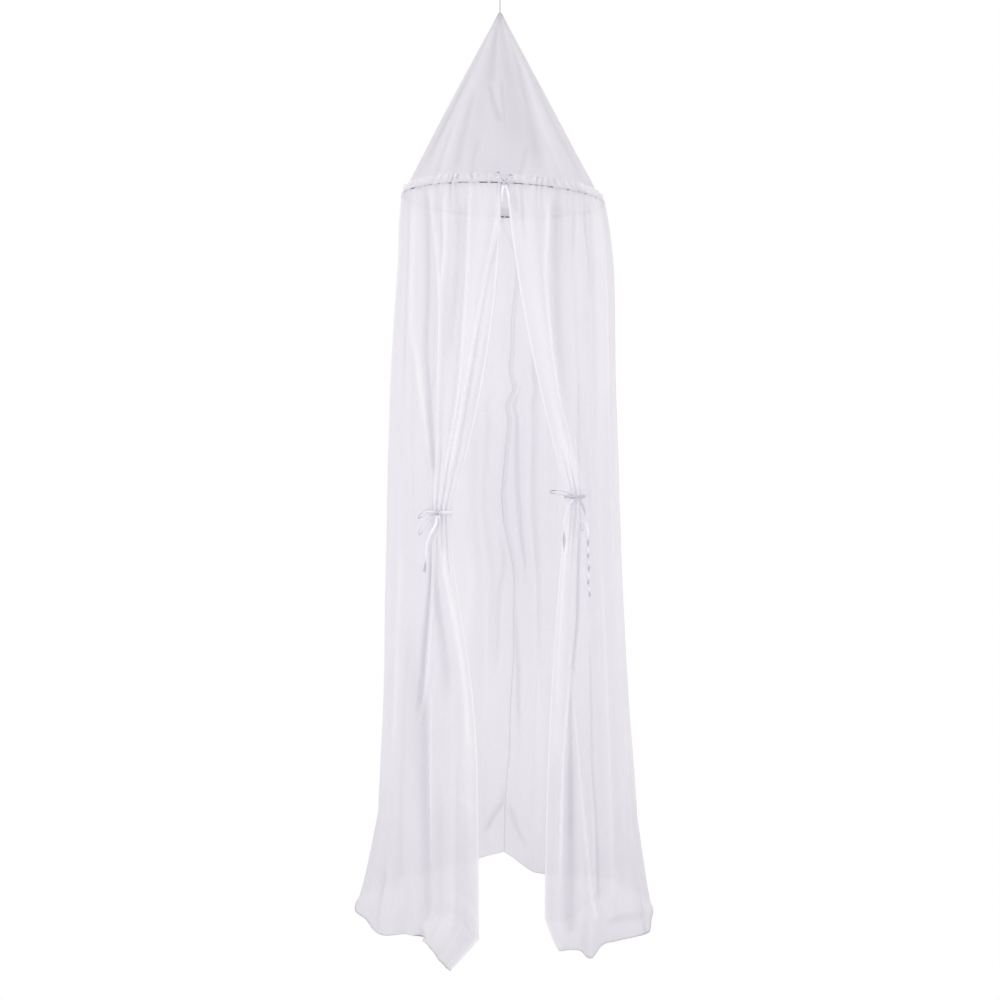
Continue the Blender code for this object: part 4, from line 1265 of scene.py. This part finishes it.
def drape(panel, u, s, inset):
    """The cloth's places and tones: base surface, folds, gathers, creases and seam."""
    beside = 0.004
    x, y, h = lie(panel, u, s)
    x0, y0, _ = lie(panel, np.maximum(u - beside, 0.0), s)
    x1, y1, _ = lie(panel, np.minimum(u + beside, 1.0), s)
    length = np.hypot(x1 - x0, y1 - y0)
    out_x = -(y1 - y0) / length * panel.side
    out_y = (x1 - x0) / length * panel.side
    down = np.where(s < 0.0, s * HEADING, s * (HOOP_H - panel.tie_h))
    edge = rise(np.minimum(u, 1.0 - u), 0.0, FREE_EDGE)
    below = rise(s, 0.0, 0.10)
    bundled = rise(u, panel.bundle_from, 0.05)
    # Gathers: full at the hoop, dying out below it, and flaring a little in the frill. Fine
    # ones lie between the broad ones.
    flare = 1.0 + FRILL_FLARE * np.clip(-down / HEADING, 0.0, 1.0)
    gathers = gather_wave(panel, u, s, BROAD_GATHER)
    fine = gather_wave(panel, u, s, FINE_GATHER)
    ruffle = 0.0
    for kind, wave in ((BROAD_GATHER, gathers), (FINE_GATHER, fine)):
        ruffle = ruffle + kind.depth * flare * np.exp(-np.maximum(down, 0.0) / kind.fade) * wave
    hoop_az = station_value(panel, "hoop_az", u)
    crowding = CROWD_LEAST + sum(c.share * hump(hoop_az, c.azimuth, c.spread) for c in CROWDS)
    ruffle = ruffle * edge * np.minimum(crowding, CROWD_MOST)
    offset = fold_offset(panel, u, s, edge) + ruffle
    # Threading: at the hoop's own height the cloth lies just outside the wire, or inside it.
    bare = bare_share(hoop_az)
    outside = OUTSIDE_WIRE + BROAD_GATHER.depth * 0.5 * (1.0 + gathers)
    inside = -2.0 * HOOP_WIRE - INSIDE_WIRE - BROAD_GATHER.depth * 0.3 * (1.0 + gathers)
    offset = offset + (outside - offset) * hump(down, 0.0, THREADING)
    in_slot = np.exp(-((down / (SLOT_LEAST + SLOT_MORE * bare)) ** 4)) * (bare > 0.0)
    offset = offset + (inside - offset) * in_slot * smooth(bare * 4.0)
    # Creases, and small folds that run down the cloth and fade in and out. The small ones
    # are pulled flat where the tie holds the cloth.
    creased = crease_offset(panel, u, s)
    offset = offset + creased * rise(s, 0.0, 0.05)
    small = sum(
        kind.depth * soft_noise(kind.seed + panel.side, u, s, kind.across, kind.down)
        for kind in SMALL_FOLDS
    )
    small = small * below * edge * (1.0 - 0.7 * rise(s, *SMALL_NEAR_HEM))
    small = small * (1.0 - 0.92 * hump(s, 1.0, TIE_PULL) * bundled)
    offset = offset + small
    # The centre-back seam: a lap that wanders a little, puckered on both sides.
    near_seam = np.exp(-u * PANEL_WIDTH / SEAM_NEAR)
    ripple = np.cos(math.tau * down / PUCKER_SPACING + 2.0 * np.sin(down * 21.0) + u * 90.0)
    offset = offset + (SEAM_PUCKER * ripple * below - SEAM_STEP * (panel.side > 0)) * near_seam
    offset = offset - HEM_GAP * inset
    seam_h = np.clip(h[:, :1], SEAM_WANDER[0][0], SEAM_WANDER[-1][0])
    wander = curve(SEAM_WANDER, seam_h) + SEAM_WAVER * np.sin(seam_h * 23.0)
    x = x + out_x * offset + wander * below * (1.0 - rise(u, 0.0, SEAM_PULL))
    x = x - panel.side * SEAM_LAP * (1.0 - rise(u, 0.0, FREE_EDGE))
    y = y + out_y * offset
    # Painted shading: troughs are painted dark as shade and ridges light as highlight, and the
    # doubled front hem is the lightest.
    fold = PLAIN_TONE + CREASE_TONE * np.tanh(creased / CREASE_SHADE)
    fold = fold + GATHER_TONE * np.tanh((ruffle + small) / GATHER_SHADE)
    front_hem = smooth((u - 1.0) * PANEL_WIDTH / HEM_FOLD + 1.6)
    fold = fold + FRONT_HEM_TONE * front_hem * below
    # The frill is painted lighter. Its raw edge is turned over twice, and is painted darker as
    # shade where gathers crowd.
    front = hump(hoop_az, *RAW_EDGE_FRONT) * (0.6 + 0.4 * fine)
    fold = fold + FRILL_EDGE_SHADE * hump(s, *RAW_EDGE) * front
    fold = fold + FRILL_TONE * rise(-s, 0.0, FRILL_RISE)
    # The gathered cloth round the tie lies in layers; it is painted lighter, and its puckers are
    # painted darker as shade.
    fold = fold + TIE_LAYERS_LIGHT * bundled * hump(s, *LAYERS)
    pucker_shade_mask = np.maximum(soft_noise(PUCKER_SEED + panel.side, u, s, *PUCKER_NOISE), 0.0)
    fold = fold + PUCKER_SHADE * bundled * pucker_shade_mask * hump(s, *PUCKERS)
    # Near the floor the cloth is painted darker as shade, the back most of all, and so are the
    # middle of the back and the hem. The left panel's front corner keeps its light hem.
    far = 1.0 - rise(u, *LEAVING_BACK)
    fold = fold + rise(s, *NEAR_FLOOR) * (LOW_SHADE + LOW_BACK_SHADE * far)
    fold = fold + BACK_SHADE * hump(u, 0.0, panel.back_reach) * hump(s, *BACK_MIDDLE)
    hem = rise(s, *NEAR_HEM) * rise(u, *HEM_ACROSS)
    fold = fold + HEM_SHADE * hem * (1.0 - rise(u, panel.pale_from, PALE_OVER))
    # The sides, which are edge on from the front, are painted lighter above the tie as highlight.
    fold = fold + SIDE_HIGHLIGHT * hump(u, *panel.side_light) * (1.0 - rise(s, *SIDE_FADE))
    return x, y, h, fold


# The rows of a panel's grid: how far down each run goes, and its number of rows.
ROWS = ((-0.24, 7), (0.0, 8), (0.008, 8), (0.06, 10), (1.0, 61), (2.0, 70), (3.0, 25))
COLUMNS = 480
TURNED_ROWS = 3


def build_curtain(panel):
    """One panel: a grid that is finest at the hoop, with its front edge and hem turned over."""
    turned = np.linspace(0.0, 1.0, TURNED_ROWS + 1)[1:]
    flat_u = np.linspace(0.0, 1.0, COLUMNS + 1)
    turned_u = 1.0 - turned * HEM_FOLD / PANEL_WIDTH
    flat_s = [-1.0]
    for stop, count in ROWS:
        flat_s += list(np.linspace(flat_s[-1], stop, count + 1)[1:])
    u = np.concatenate([flat_u, turned_u])[None]
    s = np.concatenate([flat_s, 3.0 - turned * HEM_TURN])[:, None]
    inset = (np.arange(s.size) >= len(flat_s)).astype(float)[:, None] + (
        np.arange(u.size) >= len(flat_u)
    ).astype(float)
    x, y, h, fold = drape(panel, u, s, inset)
    places = np.stack([x, y, h - DROP], axis=-1)
    steps = np.linalg.norm(np.diff(places, axis=0), axis=2)
    down = np.concatenate([[0.0], np.cumsum(steps.mean(axis=1))])
    width = np.concatenate([flat_u, 2.0 - turned_u]) * PANEL_WIDTH
    flat = np.stack(np.broadcast_arrays(width, -down[:, None]), axis=-1)
    if panel.side < 0:
        places, flat, fold = places[:, ::-1], flat[:, ::-1], fold[:, ::-1]
    piece = grid_sheet(f"voile_{panel.name}", places, flat, [curtain_voile], fold)
    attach(piece, "root")
    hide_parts(panel.name)
    return piece


# Its trough colour is painted shade and its ridge colour painted highlight.
curtain_voile = voile("polyester_voile_curtain", "#DFDCE4", "#FDFCFE", 0.13, 0.45)
for panel in (LEFT, RIGHT):
    build_curtain(panel)

# ---- room ----
# A plain white floor and white walls, lit softly from all round, with a soft lamp in front on
# the left, and weaker and wider ones in front on the right and behind.
WHITE = "#FFFFFF"
FLOOR_PAINT = "#E6E6E6"
WALL_GLOW = 0.84

# Matt white paint, which looks evenly white to the camera.
floor_paint, tree = new_material("matt_white_floor")
paint = add_node(
    tree,
    "ShaderNodeBsdfPrincipled",
    inputs={"Base Color": linear(FLOOR_PAINT), "Roughness": 0.9},
)
lit = add_node(tree, "ShaderNodeEmission", inputs={"Color": linear(WHITE), "Strength": 1.0})
seen = add_node(tree, "ShaderNodeLightPath")
surface = add_node(
    tree,
    "ShaderNodeMixShader",
    inputs={0: seen.outputs["Is Camera Ray"], 1: paint.outputs["BSDF"], 2: lit.outputs[0]},
)
add_node(tree, "ShaderNodeOutputMaterial", inputs={"Surface": surface.outputs["Shader"]})
bm = bmesh.new()
bmesh.ops.create_grid(bm, x_segments=1, y_segments=1, size=30.0)
bmesh.ops.translate(bm, verts=bm.verts, vec=(0.0, 0.0, -DROP - 0.0006))
floor = object_from("floor", bm, floor_paint)

# The walls look plain white, and light the canopy a little less than they look.
world = bpy.data.worlds.new("white_room")
world.use_nodes = True
tree = world.node_tree
tree.nodes.clear()
walls, glow = (
    add_node(tree, "ShaderNodeBackground", inputs={"Color": linear(WHITE), "Strength": strength})
    for strength in (1.0, WALL_GLOW)
)
seen = add_node(tree, "ShaderNodeLightPath")
room = add_node(
    tree,
    "ShaderNodeMixShader",
    inputs={0: seen.outputs["Is Camera Ray"], 1: glow.outputs[0], 2: walls.outputs[0]},
)
add_node(tree, "ShaderNodeOutputWorld", inputs={"Surface": room.outputs["Shader"]})
bpy.context.scene.world = world

Lamp = namedtuple("Lamp", "name place target size watts")
for lamp in (
    Lamp("key_softbox", (-3.0, -2.4, 0.4), (0.0, 0.0, -1.2), 1.2, 42.0),
    Lamp("fill_softbox", (2.8, -2.4, 0.2), (0.0, 0.0, -1.2), 2.4, 32.0),
    Lamp("back_softbox", (0.4, 3.4, -0.9), (0.0, 0.0, -1.3), 2.4, 34.0),
):
    light = bpy.data.lights.new(lamp.name, "AREA")
    light.energy = lamp.watts
    light.size = lamp.size
    holder = bpy.data.objects.new(lamp.name, light)
    bpy.context.collection.objects.link(holder)
    holder.location = lamp.place
    aim = Vector(lamp.target) - Vector(lamp.place)
    holder.rotation_euler = aim.to_track_quat("-Z", "Y").to_euler()
